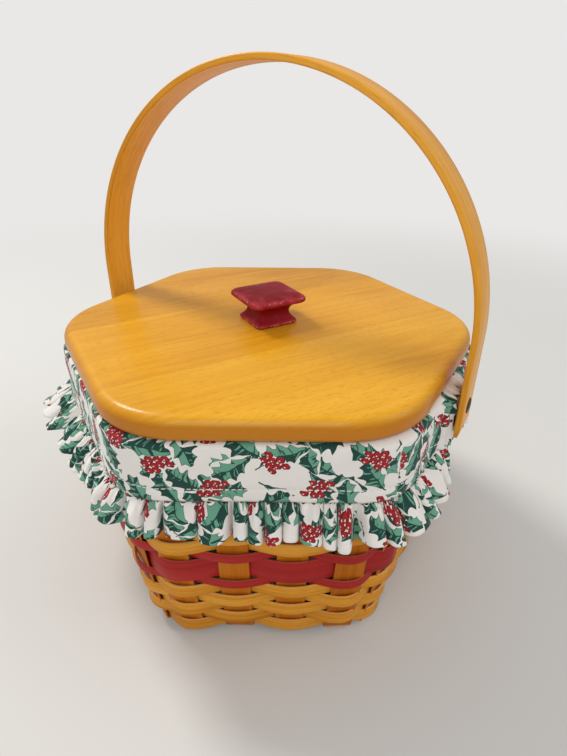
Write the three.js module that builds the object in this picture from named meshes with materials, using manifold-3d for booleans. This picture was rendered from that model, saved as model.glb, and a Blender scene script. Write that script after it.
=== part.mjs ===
// A hexagonal splint basket with a wooden lid, a swing handle and a ruffled cloth liner.
// Millimetres, +Z up. The origin is the centre of the underside, on what the basket stands on.
// The handle's two pivots lie on faces 1 and 4, whose normals are +X and -X.

import * as THREE from 'three';
import { mergeVertices } from 'three/addons/utils/BufferGeometryUtils.js';
import Module from 'manifold-3d';

const wasm = await Module();
wasm.setup();

const { Vector2, Vector3 } = THREE;
const { cos, sin, sqrt, tan, PI } = Math;

// Space left between two pieces that touch in the real basket
const FIT = 0.3;

// The wall, measured to the middle of the uprights' thickness
const FACES = 6;
const FACE_ANGLE = 2 * PI / FACES;
const BASE_APOTHEM = 113;
const RIM_APOTHEM = 127;
const BASE_CORNER_RADIUS = 28;
const RIM_CORNER_RADIUS = 52;
const RIM_HEIGHT = 168;
const WALL_CURVE = 2.2;

// The through strips: four to a face, laid across the base in three layers
const STRIPS_PER_FACE = 4;
const STRIP_WIDTH = 19;
const STRIP_THICKNESS = 1.1;
const LARGEST_STRIP_BEND = 3;
const STRIP_END_DROP = 0.8;
const UPRIGHT_SPREAD = 1.04;
const UPRIGHT_TURN_SHARE = 0.5;
const UPRIGHT_STEPS = 6;
const LAYER_NAMES = ['lower', 'middle', 'upper'];

// The weavers, from the base up
const WEAVER_THICKNESS = 1.1;
const WEAVER_MARGIN = 1.2;
const FIRST_ROW_BOTTOM = 5.2;
const TAN_ROW = 9.5;
const NARROW_RED_ROW = 6.4;
const WIDE_RED_ROW = 17.5;
const ROWS_BELOW_RED = 5;

// The two rim bands. The weaving stops where at least this height is left for them.
const SMALLEST_BAND_HEIGHT = 20;
const BAND_THICKNESS = 3;
const BAND_EDGE = 1;

// The swing handle. Its strap stands off the outer band on two spacers.
const PIVOT_BELOW_RIM = 10;
const ARCH_ABOVE_PIVOT = 43;
const SPACER_LENGTH = 10.1;
const STRAP_WIDTH = 19;
const STRAP_THICKNESS = 4;
const STRAP_EDGE = 0.9;
const STRAP_END = 22;
const RIVET_RADIUS = 2.4;
const RIVET_HOLE_RADIUS = 2.8;
const RIVET_HEAD_RADIUS = 5.3;
const RIVET_HEAD_HEIGHT = 1.9;
const RIVET_INNER_HEAD_RADIUS = 4;
const RIVET_INNER_HEAD_HEIGHT = 1.3;
const RIVET_INNER_HEAD_EDGE = 0.5;
const SPACER_RADIUS = 7;

// The lid
const LID_OVERHANG = 5;
const LID_CORNER_RADIUS = 58;
const LID_THICKNESS = 14.5;
const LID_TOP_ROUNDING = 7;
const LID_UNDER_ROUNDING = 4;
const LID_GRAIN_ANGLE = PI / 3;
const MIDDLE_BOARD_WIDTH = 89;
const CLEAT_LENGTH = 190;
const CLEAT_WIDTH = 19;
const CLEAT_THICKNESS = 6;
const CLEAT_SPACING = 120;

// The knob: half width and height of each step of its outline, from the lid up
const KNOB_CORNER_SHARE = 0.34;
const KNOB_OUTLINE = [
  [14.2, 0], [15, 0.8], [15, 2], [13.2, 3.6], [11.6, 6], [11.2, 8.6], [12.4, 11.4], [15.6, 13.3],
  [18.3, 14], [19, 15], [19, 18], [18.4, 19.6], [16.6, 20.6], [10, 21.4],
];
const KNOB_TOP = 21.6;
const KNOB_TOP_FLAT = 1;
const SCREW_RADIUS = 2;
const SCREW_HOLE_RADIUS = 2.35;
const SCREW_HEAD_RADIUS = 4.2;
const SCREW_HEAD_HEIGHT = 2.6;
const SCREW_DEPTH_IN_KNOB = 13;

// The cloth liner
const CLOTH = 1;
const LINER_INSET = 6.4;
const LINER_TURN = 1;
const SKIRT_LENGTH = 36;
const SKIRT_FLARE = 0.4;
const HANDLE_SLOT_WIDTH = 17;

// The ruffle. Its hem stands out from the skirt, and further round two of the corners.
const RUFFLE_FOLDS = 48;
const RUFFLE_STEPS_PER_FOLD = 4;
const RUFFLE_LENGTH = 19;
const RUFFLE_SEAM_FLARE = 0.4;
const RUFFLE_SEAM_FOLD = 0.7;
const RUFFLE_HEM_FLARE = 9;
const RUFFLE_HEM_FOLD = 5.5;
const TURNED_UP_FLARE = 12;
const TURNED_UP_LIFT = 3;
const TURNED_UP_ANGLE = 1.2 * PI;
const SPREAD_FLARE = 10;
const SPREAD_ANGLE = 1.86 * PI;
const SPREAD_SHARPNESS = 8;

// How smooth the round forms are
const CORNER_STEPS = 7;
const ROUND_STEPS = 20;
const ARCH_STEPS = 36;

// The height over which the wall's slope is measured
const SLOPE_STEP = 1;

const honeyWood = { color: 0xd9922a, roughness: 0.45, metalness: 0 };
const lidWood = { color: 0xe0a030, roughness: 0.35, metalness: 0 };
const tanSplint = { color: 0xd39443, roughness: 0.55, metalness: 0 };
const redSplint = { color: 0x9c3035, roughness: 0.55, metalness: 0 };
const redPaint = { color: 0x8b1d2c, roughness: 0.4, metalness: 0 };
const darkMetal = { color: 0x3d2c1e, roughness: 0.5, metalness: 0.8 };
const brass = { color: 0xb08d4a, roughness: 0.4, metalness: 0.9 };
const printedCloth = { color: 0xe6e3e0, roughness: 0.9, metalness: 0 };

const basket = new THREE.Group();
basket.name = 'lidded_splint_basket';

function add(name, geometry, finish) {
  const mesh = new THREE.Mesh(geometry, new THREE.MeshStandardMaterial(finish));
  mesh.name = name;
  basket.add(mesh);
}

// Joining and cutting of closed solids

function toSolid(geometry) {
  const bare = geometry.clone();
  bare.deleteAttribute('normal');
  bare.deleteAttribute('uv');
  const welded = mergeVertices(bare, 1e-4);
  return new wasm.Manifold(new wasm.Mesh({
    numProp: 3,
    vertProperties: new Float32Array(welded.attributes.position.array),
    triVerts: new Uint32Array(welded.index.array),
  }));
}

function toGeometry(solid) {
  const mesh = solid.getMesh();
  const geometry = new THREE.BufferGeometry();
  geometry.setAttribute('position', new THREE.BufferAttribute(mesh.vertProperties, 3));
  geometry.setIndex(new THREE.BufferAttribute(mesh.triVerts, 1));
  geometry.computeVertexNormals();
  return geometry;
}

function cut(geometry, ...tools) {
  let solid = toSolid(geometry);
  for (const tool of tools) solid = solid.subtract(toSolid(tool));
  return toGeometry(solid);
}

function box(sizeX, sizeY, sizeZ, x, y, z) {
  return new THREE.BoxGeometry(sizeX, sizeY, sizeZ).translate(x, y, z);
}

// A round solid about the X axis, from [x, radius] points
function turnedAboutX(outline) {
  const points = outline.map(([x, radius]) => new Vector2(radius, x));
  return new THREE.LatheGeometry(points, ROUND_STEPS).rotateZ(-PI / 2);
}

function cylinderAlongX(radius, fromX, toX, height) {
  const bar = turnedAboutX([[fromX, 0], [fromX, radius], [toX, radius], [toX, 0]]);
  return bar.translate(0, 0, height);
}

// A closed skin over rings of points. The rings either close on each other or end in flat caps.
// From the ring with the given number on, they go back along the other side of a cloth, and each
// square there is split along the same diagonal as the square that it lies against.
function skin(rings, joinEnds, backFrom = rings.length) {
  const positions = rings.flat().flatMap((point) => [point.x, point.y, point.z]);
  const around = rings[0].length;
  const index = [];
  const spans = joinEnds ? rings.length : rings.length - 1;
  for (let ring = 0; ring < spans; ring += 1) {
    const next = (ring + 1) % rings.length;
    for (let step = 0; step < around; step += 1) {
      const beside = (step + 1) % around;
      const a = ring * around + step;
      const b = ring * around + beside;
      const c = next * around + beside;
      const d = next * around + step;
      if (ring < backFrom) index.push(a, b, c, a, c, d);
      else index.push(a, b, d, b, c, d);
    }
  }
  if (!joinEnds) {
    const last = (rings.length - 1) * around;
    for (let step = 1; step < around - 1; step += 1) {
      index.push(0, step + 1, step);
      index.push(last, last + step, last + step + 1);
    }
  }
  const geometry = new THREE.BufferGeometry();
  geometry.setAttribute('position', new THREE.Float32BufferAttribute(positions, 3));
  geometry.setIndex(index);
  geometry.computeVertexNormals();
  return geometry;
}

// A strip swept through stations. Each station has a centre, the direction of the strip's width and
// the direction of its thickness, and the section is given in millimetres along those two.
function sweep(stations, section, joinEnds) {
  const rings = stations.map(({ centre, across, through, widthShare = 1 }) => (
    section.map(([width, depth]) => (
      centre.clone().addScaledVector(across, width * widthShare).addScaledVector(through, depth)
    ))
  ));
  return skin(rings, joinEnds);
}

function flatSection(width, thickness) {
  const w = width / 2;
  const t = thickness / 2;
  return [[-w, -t], [w, -t], [w, t], [-w, t]];
}

function easedSection(width, thickness, edge) {
  const w = width / 2;
  const t = thickness / 2;
  return [
    [-w + edge, -t], [w - edge, -t], [w, -t + edge], [w, t - edge],
    [w - edge, t], [-w + edge, t], [-w, t - edge], [-w, -t + edge],
  ];
}

// The rounded hexagon

// The point that lies a given way along one face from its middle, and the way the wall faces there
function onHexagon(face, along, apothem, cornerRadius) {
  const flatHalf = (apothem - cornerRadius) * tan(FACE_ANGLE / 2);
  const beyond = Math.max(Math.abs(along) - flatHalf, 0);
  const turn = Math.sign(along) * beyond / cornerRadius;
  const straight = Math.sign(along) * Math.min(Math.abs(along), flatHalf);
  const faceAngle = face * FACE_ANGLE;
  const outward = apothem - cornerRadius + cornerRadius * cos(turn);
  const sideways = straight + cornerRadius * sin(turn);
  return {
    x: outward * cos(faceAngle) - sideways * sin(faceAngle),
    y: outward * sin(faceAngle) + sideways * cos(faceAngle),
    angle: faceAngle + turn,
  };
}

function halfSide(apothem, cornerRadius) {
  const flatHalf = (apothem - cornerRadius) * tan(FACE_ANGLE / 2);
  return flatHalf + cornerRadius * FACE_ANGLE / 2;
}

// One ring of points round the hexagon at a given height, evenly spaced on the corners
function hexagonRing(apothem, cornerRadius, height) {
  const ring = [];
  for (let face = 0; face < FACES; face += 1) {
    const corner = (face + 0.5) * FACE_ANGLE;
    const centreDistance = (apothem - cornerRadius) / cos(FACE_ANGLE / 2);
    for (let step = 0; step <= CORNER_STEPS; step += 1) {
      const angle = corner + (step / CORNER_STEPS - 0.5) * FACE_ANGLE;
      ring.push(new Vector3(
        centreDistance * cos(corner) + cornerRadius * cos(angle),
        centreDistance * sin(corner) + cornerRadius * sin(angle),
        height,
      ));
    }
  }
  return ring;
}

// The uprights

// The wall flares most just above the base and stands nearly upright at the rim
function wallApothem(height) {
  const belowRim = Math.max(1 - height / RIM_HEIGHT, 0);
  const flare = 1 - belowRim ** WALL_CURVE;
  return BASE_APOTHEM + (RIM_APOTHEM - BASE_APOTHEM) * flare;
}

// How far the wall moves out for each millimetre that it rises
function wallSlope(height) {
  return (wallApothem(height + SLOPE_STEP / 2) - wallApothem(height - SLOPE_STEP / 2)) / SLOPE_STEP;
}

function cornerRadiusAt(height) {
  return BASE_CORNER_RADIUS + (RIM_CORNER_RADIUS - BASE_CORNER_RADIUS) * height / RIM_HEIGHT;
}

function wallPoint(face, place, height) {
  const apothem = wallApothem(height);
  const radius = cornerRadiusAt(height);
  const pitch = 2 * halfSide(apothem, radius) / STRIPS_PER_FACE * UPRIGHT_SPREAD;
  return onHexagon(face, place * pitch, apothem, radius);
}

// An upright follows the wall. Its place counts pitches from the face's middle. The two that stand
// on the rounding of a corner are turned partly towards the corner.
function makeUpright(face, place) {
  const faceAngle = face * FACE_ANGLE;
  const angle = faceAngle + (wallPoint(face, place, RIM_HEIGHT).angle - faceAngle) * UPRIGHT_TURN_SHARE;
  const levelOut = new Vector3(cos(angle), sin(angle), 0);
  const levelAcross = new Vector3(-sin(angle), cos(angle), 0);
  const at = (height) => {
    const { x, y } = wallPoint(face, place, height);
    return new Vector3(x, y, height);
  };
  // The way up the strip, as it goes for each unit of height, and the strip's own two directions
  const riseAt = (height) => (
    at(height + SLOPE_STEP / 2).sub(at(height - SLOPE_STEP / 2)).divideScalar(SLOPE_STEP)
  );
  const stationAt = (height) => {
    const through = levelAcross.clone().cross(riseAt(height)).normalize();
    const across = riseAt(height).cross(through).normalize();
    return { centre: at(height), across, through };
  };
  return { face, place, levelOut, levelAcross, at, riseAt, stationAt };
}

const places = Array.from(
  { length: STRIPS_PER_FACE },
  (_, strip) => strip - (STRIPS_PER_FACE - 1) / 2,
);
const uprights = [];
for (let face = 0; face < FACES; face += 1) {
  for (const place of places) uprights.push(makeUpright(face, place));
}

// The through strips. Each climbs one face, crosses the base and climbs the opposite face.

// The stations of one upright, from its top down and round the bend onto the base
function uprightStations(upright, baseHeight) {
  const bend = Math.min(LARGEST_STRIP_BEND, FIRST_ROW_BOTTOM - FIT - baseHeight);
  const top = RIM_HEIGHT - STRIP_END_DROP;
  const onWall = Array.from({ length: UPRIGHT_STEPS + 1 }, (_, step) => (
    upright.stationAt(top + (baseHeight + bend - top) * step / UPRIGHT_STEPS)
  ));
  const lowest = onWall[UPRIGHT_STEPS];
  const faceAngle = upright.face * FACE_ANGLE;
  const inward = new Vector3(-cos(faceAngle), -sin(faceAngle), 0);
  const corner = upright.at(baseHeight);
  const onBase = {
    centre: corner.clone().addScaledVector(inward, bend),
    across: new Vector3(-sin(faceAngle), cos(faceAngle), 0),
    through: new Vector3(0, 0, -1),
  };
  const inBend = {
    centre: onBase.centre.clone().lerp(lowest.centre, 0.5).lerp(corner, 0.4),
    across: onBase.across.clone().add(lowest.across).normalize(),
    through: onBase.through.clone().add(lowest.through).normalize(),
  };
  return [...onWall, inBend, onBase];
}

function throughStrip(face, place, baseHeight) {
  const near = uprights.find((upright) => upright.face === face && upright.place === place);
  const far = uprights.find(
    (upright) => upright.face === face + FACES / 2 && upright.place === -place,
  );
  const nearSide = uprightStations(near, baseHeight);
  const farSide = uprightStations(far, baseHeight).reverse();
  for (const station of farSide) station.across.negate();
  return sweep([...nearSide, ...farSide], flatSection(STRIP_WIDTH, STRIP_THICKNESS), false);
}

LAYER_NAMES.forEach((layerName, layer) => {
  const baseHeight = STRIP_THICKNESS / 2 + layer * (STRIP_THICKNESS + FIT);
  places.forEach((place, strip) => {
    add(`through_strip_${layerName}_${strip + 1}`, throughStrip(layer, place, baseHeight), tanSplint);
  });
});
const baseTop = LAYER_NAMES.length * (STRIP_THICKNESS + FIT) - FIT;

// A hoop round the wall. It lies flat over each upright, at a distance from the wall's middle that
// the given function returns for each upright in turn, and runs straight from one to the next.
function hoop(bottom, top, distanceAt, section) {
  const height = (bottom + top) / 2;
  const stations = [];
  uprights.forEach((upright, number) => {
    const rise = upright.riseAt(height);
    for (const end of [-1, 1]) {
      const centre = upright.at(height)
        .addScaledVector(upright.levelAcross, end * (STRIP_WIDTH / 2 + WEAVER_MARGIN))
        .addScaledVector(upright.levelOut, distanceAt(number));
      stations.push({ centre, across: rise, through: upright.levelOut });
    }
  });
  return sweep(stations, section, true);
}

// The weavers. Each row passes in front of every second upright, and the next row the others.
const redRows = [NARROW_RED_ROW, WIDE_RED_ROW, NARROW_RED_ROW];
const redHeight = redRows.reduce((height, rowHeight) => height + rowHeight + FIT, 0);
const redTop = FIRST_ROW_BOTTOM + ROWS_BELOW_RED * (TAN_ROW + FIT) + redHeight;
const heightAboveRed = RIM_HEIGHT - SMALLEST_BAND_HEIGHT - redTop;
const rowHeights = [
  ...Array(ROWS_BELOW_RED).fill(TAN_ROW),
  ...redRows,
  ...Array(Math.floor(heightAboveRed / (TAN_ROW + FIT))).fill(TAN_ROW),
];

const weaverDistance = (STRIP_THICKNESS + WEAVER_THICKNESS) / 2 + FIT;
let rowBottom = FIRST_ROW_BOTTOM;
rowHeights.forEach((rowHeight, row) => {
  const rowNumber = row + 1;
  const distanceAt = (number) => ((number + row) % 2 === 0 ? weaverDistance : -weaverDistance);
  const section = flatSection(rowHeight, WEAVER_THICKNESS);
  const isRed = row >= ROWS_BELOW_RED && row < ROWS_BELOW_RED + redRows.length;
  add(
    `weaver_row_${String(rowNumber).padStart(2, '0')}`,
    hoop(rowBottom, rowBottom + rowHeight, distanceAt, section),
    isRed ? redSplint : tanSplint,
  );
  rowBottom += rowHeight + FIT;
});
const bandBottom = rowBottom;

// The handle's parts. The rivets pass through the strap, a spacer and both rim bands.
const pivotHeight = RIM_HEIGHT - PIVOT_BELOW_RIM;
const archHeight = pivotHeight + ARCH_ABOVE_PIVOT;
const pivotApothem = wallApothem(pivotHeight);
const bandDistance = (STRIP_THICKNESS + BAND_THICKNESS) / 2 + FIT;
const bandFace = bandDistance + BAND_THICKNESS / 2;
const strapInner = pivotApothem + bandFace + SPACER_LENGTH + 2 * FIT;
const strapOuter = strapInner + STRAP_THICKNESS;
const pivotHoles = cylinderAlongX(RIVET_HOLE_RADIUS, -2 * strapOuter, 2 * strapOuter, pivotHeight);

for (const [name, side] of [['inner', -1], ['outer', 1]]) {
  const section = easedSection(RIM_HEIGHT - bandBottom, BAND_THICKNESS, BAND_EDGE);
  const band = hoop(bandBottom, RIM_HEIGHT, () => side * bandDistance, section);
  add(`rim_band_${name}`, cut(band, pivotHoles), honeyWood);
}

function handleStrap() {
  const radius = (strapInner + strapOuter) / 2;
  const across = new Vector3(0, -1, 0);
  const endRadius = STRAP_WIDTH / 2;
  const leg = (sideSign, height, widthShare) => ({
    centre: new Vector3(sideSign * radius, 0, height),
    across,
    through: new Vector3(sideSign, 0, 0),
    widthShare,
  });
  // The leg's lower end is rounded, so its width follows a half circle
  const legStations = (sideSign) => [0.03, 0.12, 0.35, 0.65, 1].map((share) => leg(
    sideSign,
    pivotHeight - STRAP_END + share * endRadius,
    sqrt(1 - (1 - share) ** 2),
  ));
  const arch = [];
  for (let step = 0; step <= ARCH_STEPS; step += 1) {
    const angle = PI * step / ARCH_STEPS;
    const through = new Vector3(cos(angle), 0, sin(angle));
    const centre = new Vector3(0, 0, archHeight).addScaledVector(through, radius);
    arch.push({ centre, across, through });
  }
  const stations = [...legStations(1), ...arch, ...legStations(-1).reverse()];
  return sweep(stations, easedSection(STRAP_WIDTH, STRAP_THICKNESS, STRAP_EDGE), false);
}

add('handle_strap', cut(handleStrap(), pivotHoles), honeyWood);

// The lean of the bands, for the spacer's face on the outer one
const wallLean = Math.atan(wallSlope((bandBottom + RIM_HEIGHT) / 2));
const innerHeadFace = pivotApothem - bandFace - RIVET_INNER_HEAD_RADIUS * tan(wallLean) - FIT;

function rivet() {
  const headStart = strapOuter + FIT;
  const outline = [
    [innerHeadFace - RIVET_INNER_HEAD_HEIGHT, 0],
    [innerHeadFace - RIVET_INNER_HEAD_HEIGHT, RIVET_INNER_HEAD_RADIUS - RIVET_INNER_HEAD_EDGE],
    [innerHeadFace - RIVET_INNER_HEAD_HEIGHT + RIVET_INNER_HEAD_EDGE, RIVET_INNER_HEAD_RADIUS],
    [innerHeadFace, RIVET_INNER_HEAD_RADIUS],
    [innerHeadFace, RIVET_RADIUS],
    [headStart, RIVET_RADIUS],
    [headStart, RIVET_HEAD_RADIUS],
  ];
  const domeSteps = 4;
  for (let step = 1; step <= domeSteps; step += 1) {
    const angle = (PI / 2) * step / domeSteps;
    outline.push([headStart + RIVET_HEAD_HEIGHT * sin(angle), RIVET_HEAD_RADIUS * cos(angle)]);
  }
  outline[outline.length - 1][1] = 0;
  return turnedAboutX(outline).translate(0, 0, pivotHeight);
}

function spacer() {
  const inner = RIVET_HOLE_RADIUS;
  const from = pivotApothem;
  const to = strapInner - FIT;
  const ring = turnedAboutX([
    [from, inner],
    [from, SPACER_RADIUS],
    [to, SPACER_RADIUS],
    [to, inner],
    [from, inner],
  ]);
  ring.translate(0, 0, pivotHeight);
  const depth = 4 * SPACER_RADIUS;
  const bandSide = box(depth, depth, 2 * depth, -depth / 2, 0, 0);
  bandSide.rotateY(wallLean);
  const bandFaceX = (bandFace + FIT) / cos(wallLean);
  bandSide.translate(pivotApothem + bandFaceX, 0, pivotHeight);
  return cut(ring, bandSide);
}

for (const [side, turn] of [['right', 0], ['left', PI]]) {
  add(`handle_rivet_${side}`, rivet().rotateZ(turn), darkMetal);
  add(`handle_spacer_${side}`, spacer().rotateZ(turn), brass);
}

// The lid: one rounded hexagon, sawn into three boards that run with the grain
const lidUnderside = RIM_HEIGHT + 2 * FIT + CLOTH;
const lidTop = lidUnderside + LID_THICKNESS;
const lidApothem = RIM_APOTHEM + LID_OVERHANG;

function lidRing(inset, height) {
  return hexagonRing(lidApothem - inset, LID_CORNER_RADIUS - inset, height);
}

function lidBlank() {
  const rings = [];
  const steps = 4;
  for (let step = 0; step <= steps; step += 1) {
    const angle = (PI / 2) * step / steps;
    rings.push(lidRing(
      LID_UNDER_ROUNDING * (1 - sin(angle)),
      lidUnderside + LID_UNDER_ROUNDING * (1 - cos(angle)),
    ));
  }
  for (let step = 0; step <= steps; step += 1) {
    const angle = (PI / 2) * step / steps;
    rings.push(lidRing(
      LID_TOP_ROUNDING * (1 - cos(angle)),
      lidTop - LID_TOP_ROUNDING * (1 - sin(angle)),
    ));
  }
  return skin(rings, false);
}

// A straight block along the lid's grain, between two distances to the side of the lid's centre
function boardSpace(fromSide, toSide) {
  const length = 4 * lidApothem;
  const block = box(length, toSide - fromSide, length, 0, (fromSide + toSide) / 2, 0);
  return block.rotateZ(LID_GRAIN_ANGLE);
}

function screwOutline(radius, headRadius, headBottom, top) {
  const outline = [
    [0, headBottom], [headRadius, headBottom], [radius, headBottom + SCREW_HEAD_HEIGHT],
    [radius, top - radius], [0, top],
  ];
  return new THREE.LatheGeometry(outline.map((pair) => new Vector2(...pair)), ROUND_STEPS)
    .rotateX(PI / 2);
}

const screwTop = lidTop + SCREW_DEPTH_IN_KNOB;
const screwClearance = SCREW_HOLE_RADIUS - SCREW_RADIUS;
const knobScrew = screwOutline(SCREW_RADIUS, SCREW_HEAD_RADIUS, lidUnderside, screwTop);
const knobBore = screwOutline(
  SCREW_HOLE_RADIUS,
  SCREW_HEAD_RADIUS + screwClearance,
  lidUnderside - screwClearance,
  screwTop + screwClearance,
);

const blank = toSolid(lidBlank());
const seam = MIDDLE_BOARD_WIDTH / 2;
const farSide = 2 * lidApothem;
const boards = [
  ['lid_board_back', boardSpace(seam + FIT / 2, farSide)],
  ['lid_board_middle', boardSpace(-seam + FIT / 2, seam - FIT / 2)],
  ['lid_board_front', boardSpace(-farSide, -seam - FIT / 2)],
];
for (const [name, space] of boards) {
  const board = blank.intersect(toSolid(space)).subtract(toSolid(knobBore));
  add(name, toGeometry(board), lidWood);
}

[-1, 1].forEach((side, number) => {
  const cleatHeight = lidUnderside - FIT - CLEAT_THICKNESS / 2;
  const cleat = box(
    CLEAT_WIDTH,
    CLEAT_LENGTH,
    CLEAT_THICKNESS,
    side * CLEAT_SPACING / 2,
    0,
    cleatHeight,
  );
  add(`lid_cleat_${number + 1}`, cleat.rotateZ(LID_GRAIN_ANGLE), lidWood);
});

// The knob: a square with rounded corners, waisted below its cap
function knobRing(halfWidth, height) {
  const radius = halfWidth * KNOB_CORNER_SHARE;
  const straight = halfWidth - radius;
  const steps = 4;
  const ring = [];
  for (let corner = 0; corner < 4; corner += 1) {
    const turn = corner * PI / 2;
    for (let step = 0; step <= steps; step += 1) {
      const angle = turn + (PI / 2) * step / steps;
      const cornerX = straight * (cos(turn) - sin(turn));
      const cornerY = straight * (sin(turn) + cos(turn));
      ring.push(new Vector3(cornerX + radius * cos(angle), cornerY + radius * sin(angle), height));
    }
  }
  return ring;
}

function knob() {
  const base = lidTop + FIT;
  const rings = KNOB_OUTLINE.map(([halfWidth, height]) => knobRing(halfWidth, base + height));
  rings.push(knobRing(KNOB_TOP_FLAT, base + KNOB_TOP));
  return skin(rings, false).rotateZ(LID_GRAIN_ANGLE);
}

add('lid_knob', cut(knob(), knobBore), redPaint);
add('lid_knob_screw', knobScrew, brass);

// The liner. Its side is one closed section carried round the hexagon: up inside the basket,
// over the rim and down outside the outer band.
function bagRing(inset, height) {
  return hexagonRing(wallApothem(height) - inset, cornerRadiusAt(height) - inset, height);
}

// The largest corner radius with which a hexagon still goes round a point near a corner
function radiusAround(point, apothem) {
  const corner = Math.round(Math.atan2(point.y, point.x) / FACE_ANGLE - 0.5) * FACE_ANGLE + FACE_ANGLE / 2;
  const along = point.x * cos(corner) + point.y * sin(corner);
  const aside = point.y * cos(corner) - point.x * sin(corner);
  const stretch = 1 / cos(FACE_ANGLE / 2);
  const reach = along - apothem * stretch;
  const squared = stretch ** 2 - 1;
  const linear = 2 * reach * stretch;
  const constant = reach ** 2 + aside ** 2;
  return (sqrt(linear ** 2 - 4 * squared * constant) - linear) / (2 * squared);
}

// The skirt goes round the outer band's flat stretches, which end beside the corners
const skirtTopApothem = RIM_APOTHEM + bandFace + FIT;
const skirtBottomApothem = skirtTopApothem + SKIRT_FLARE;
const cornerUpright = uprights[STRIPS_PER_FACE - 1];
const bandCorner = cornerUpright.at(RIM_HEIGHT)
  .addScaledVector(cornerUpright.levelAcross, STRIP_WIDTH / 2 + WEAVER_MARGIN)
  .addScaledVector(cornerUpright.levelOut, bandFace);
const skirtCornerRadius = radiusAround(bandCorner, skirtTopApothem - 2 * FIT);

function skirtRing(apothem, height) {
  return hexagonRing(apothem, skirtCornerRadius + apothem - skirtTopApothem, height);
}

const linerBottom = baseTop + CLOTH + 2 * FIT;
const rimTop = RIM_HEIGHT + FIT;
const skirtBottom = RIM_HEIGHT - SKIRT_LENGTH;
const linerSide = skin([
  // The side next to the basket
  bagRing(LINER_INSET, linerBottom),
  bagRing(LINER_INSET, rimTop - LINER_TURN),
  bagRing(LINER_INSET - LINER_TURN, rimTop),
  skirtRing(skirtTopApothem - LINER_TURN, rimTop),
  skirtRing(skirtTopApothem, rimTop - LINER_TURN),
  skirtRing(skirtBottomApothem, skirtBottom),
  // The side away from it
  skirtRing(skirtBottomApothem + CLOTH, skirtBottom),
  skirtRing(skirtTopApothem + CLOTH, rimTop - LINER_TURN),
  skirtRing(skirtTopApothem, rimTop + CLOTH),
  bagRing(LINER_INSET + CLOTH - LINER_TURN, rimTop + CLOTH),
  bagRing(LINER_INSET + CLOTH, rimTop - LINER_TURN),
  bagRing(LINER_INSET + CLOTH, linerBottom),
], true);

// The skirt is slit behind each leg of the strap, from its lower edge to just below the rim
const slotBottom = skirtBottom - CLOTH;
const slotTop = rimTop - 2 * LINER_TURN;
const slotDepth = 2 * (strapInner - pivotApothem);
const slots = [-1, 1].map((side) => box(
  slotDepth,
  HANDLE_SLOT_WIDTH,
  slotTop - slotBottom,
  side * (pivotApothem + slotDepth / 2),
  0,
  (slotTop + slotBottom) / 2,
));
add('liner_side', cut(linerSide, ...slots), printedCloth);

add('liner_bottom', skin([
  bagRing(LINER_INSET, baseTop + FIT),
  bagRing(LINER_INSET, baseTop + FIT + CLOTH),
], false), printedCloth);

// How near a place is to the way that an angle points, from 0 to 1
function nearness(place, angle) {
  return Math.max(cos(Math.atan2(place.y, place.x) - angle), 0) ** SPREAD_SHARPNESS;
}

// The ruffle: a gathered strip whose folds deepen from the sewn edge to the hem. The share is 0 at
// the sewn edge and 1 at the hem, and the side is -1 for the cloth's inner side and 1 for its outer.
function ruffleRing(share, side) {
  const ring = [];
  const apothem = skirtBottomApothem + CLOTH / 2;
  const radius = skirtCornerRadius + apothem - skirtTopApothem;
  const foldsPerFace = RUFFLE_FOLDS / FACES;
  const steps = foldsPerFace * RUFFLE_STEPS_PER_FOLD;
  const flare = RUFFLE_SEAM_FLARE + (RUFFLE_HEM_FLARE - RUFFLE_SEAM_FLARE) * share;
  const fold = RUFFLE_SEAM_FOLD + (RUFFLE_HEM_FOLD - RUFFLE_SEAM_FOLD) * share;
  for (let face = 0; face < FACES; face += 1) {
    for (let step = 0; step < steps; step += 1) {
      const along = (step / steps - 0.5) * 2 * halfSide(apothem, radius);
      const place = onHexagon(face, along, apothem, radius);
      const turnedUp = share * nearness(place, TURNED_UP_ANGLE);
      const spread = share * nearness(place, SPREAD_ANGLE);
      const extra = turnedUp * TURNED_UP_FLARE + spread * SPREAD_FLARE;
      const wave = fold * cos(2 * PI * step / RUFFLE_STEPS_PER_FOLD + PI / 4);
      const distance = flare + extra + wave + side * CLOTH / 2;
      ring.push(new Vector3(
        place.x + distance * cos(place.angle),
        place.y + distance * sin(place.angle),
        skirtBottom - FIT - share * RUFFLE_LENGTH + turnedUp * TURNED_UP_LIFT,
      ));
    }
  }
  return ring;
}

const seamToHem = [0, 0.5, 1];
const ruffle = skin([
  ...seamToHem.map((share) => ruffleRing(share, -1)),
  ...seamToHem.toReversed().map((share) => ruffleRing(share, 1)),
], true, seamToHem.length);
add('liner_ruffle', ruffle, printedCloth);

export default basket;
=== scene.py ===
# The looks of the lidded splint basket: woven splints, bent handle, wooden lid, painted knob and
# holly-print liner, each fitted over the solid of the same place. Metres, +Z up.

import math
from functools import partial

import bmesh
import bpy
import numpy as np
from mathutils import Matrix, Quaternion, Vector


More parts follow.
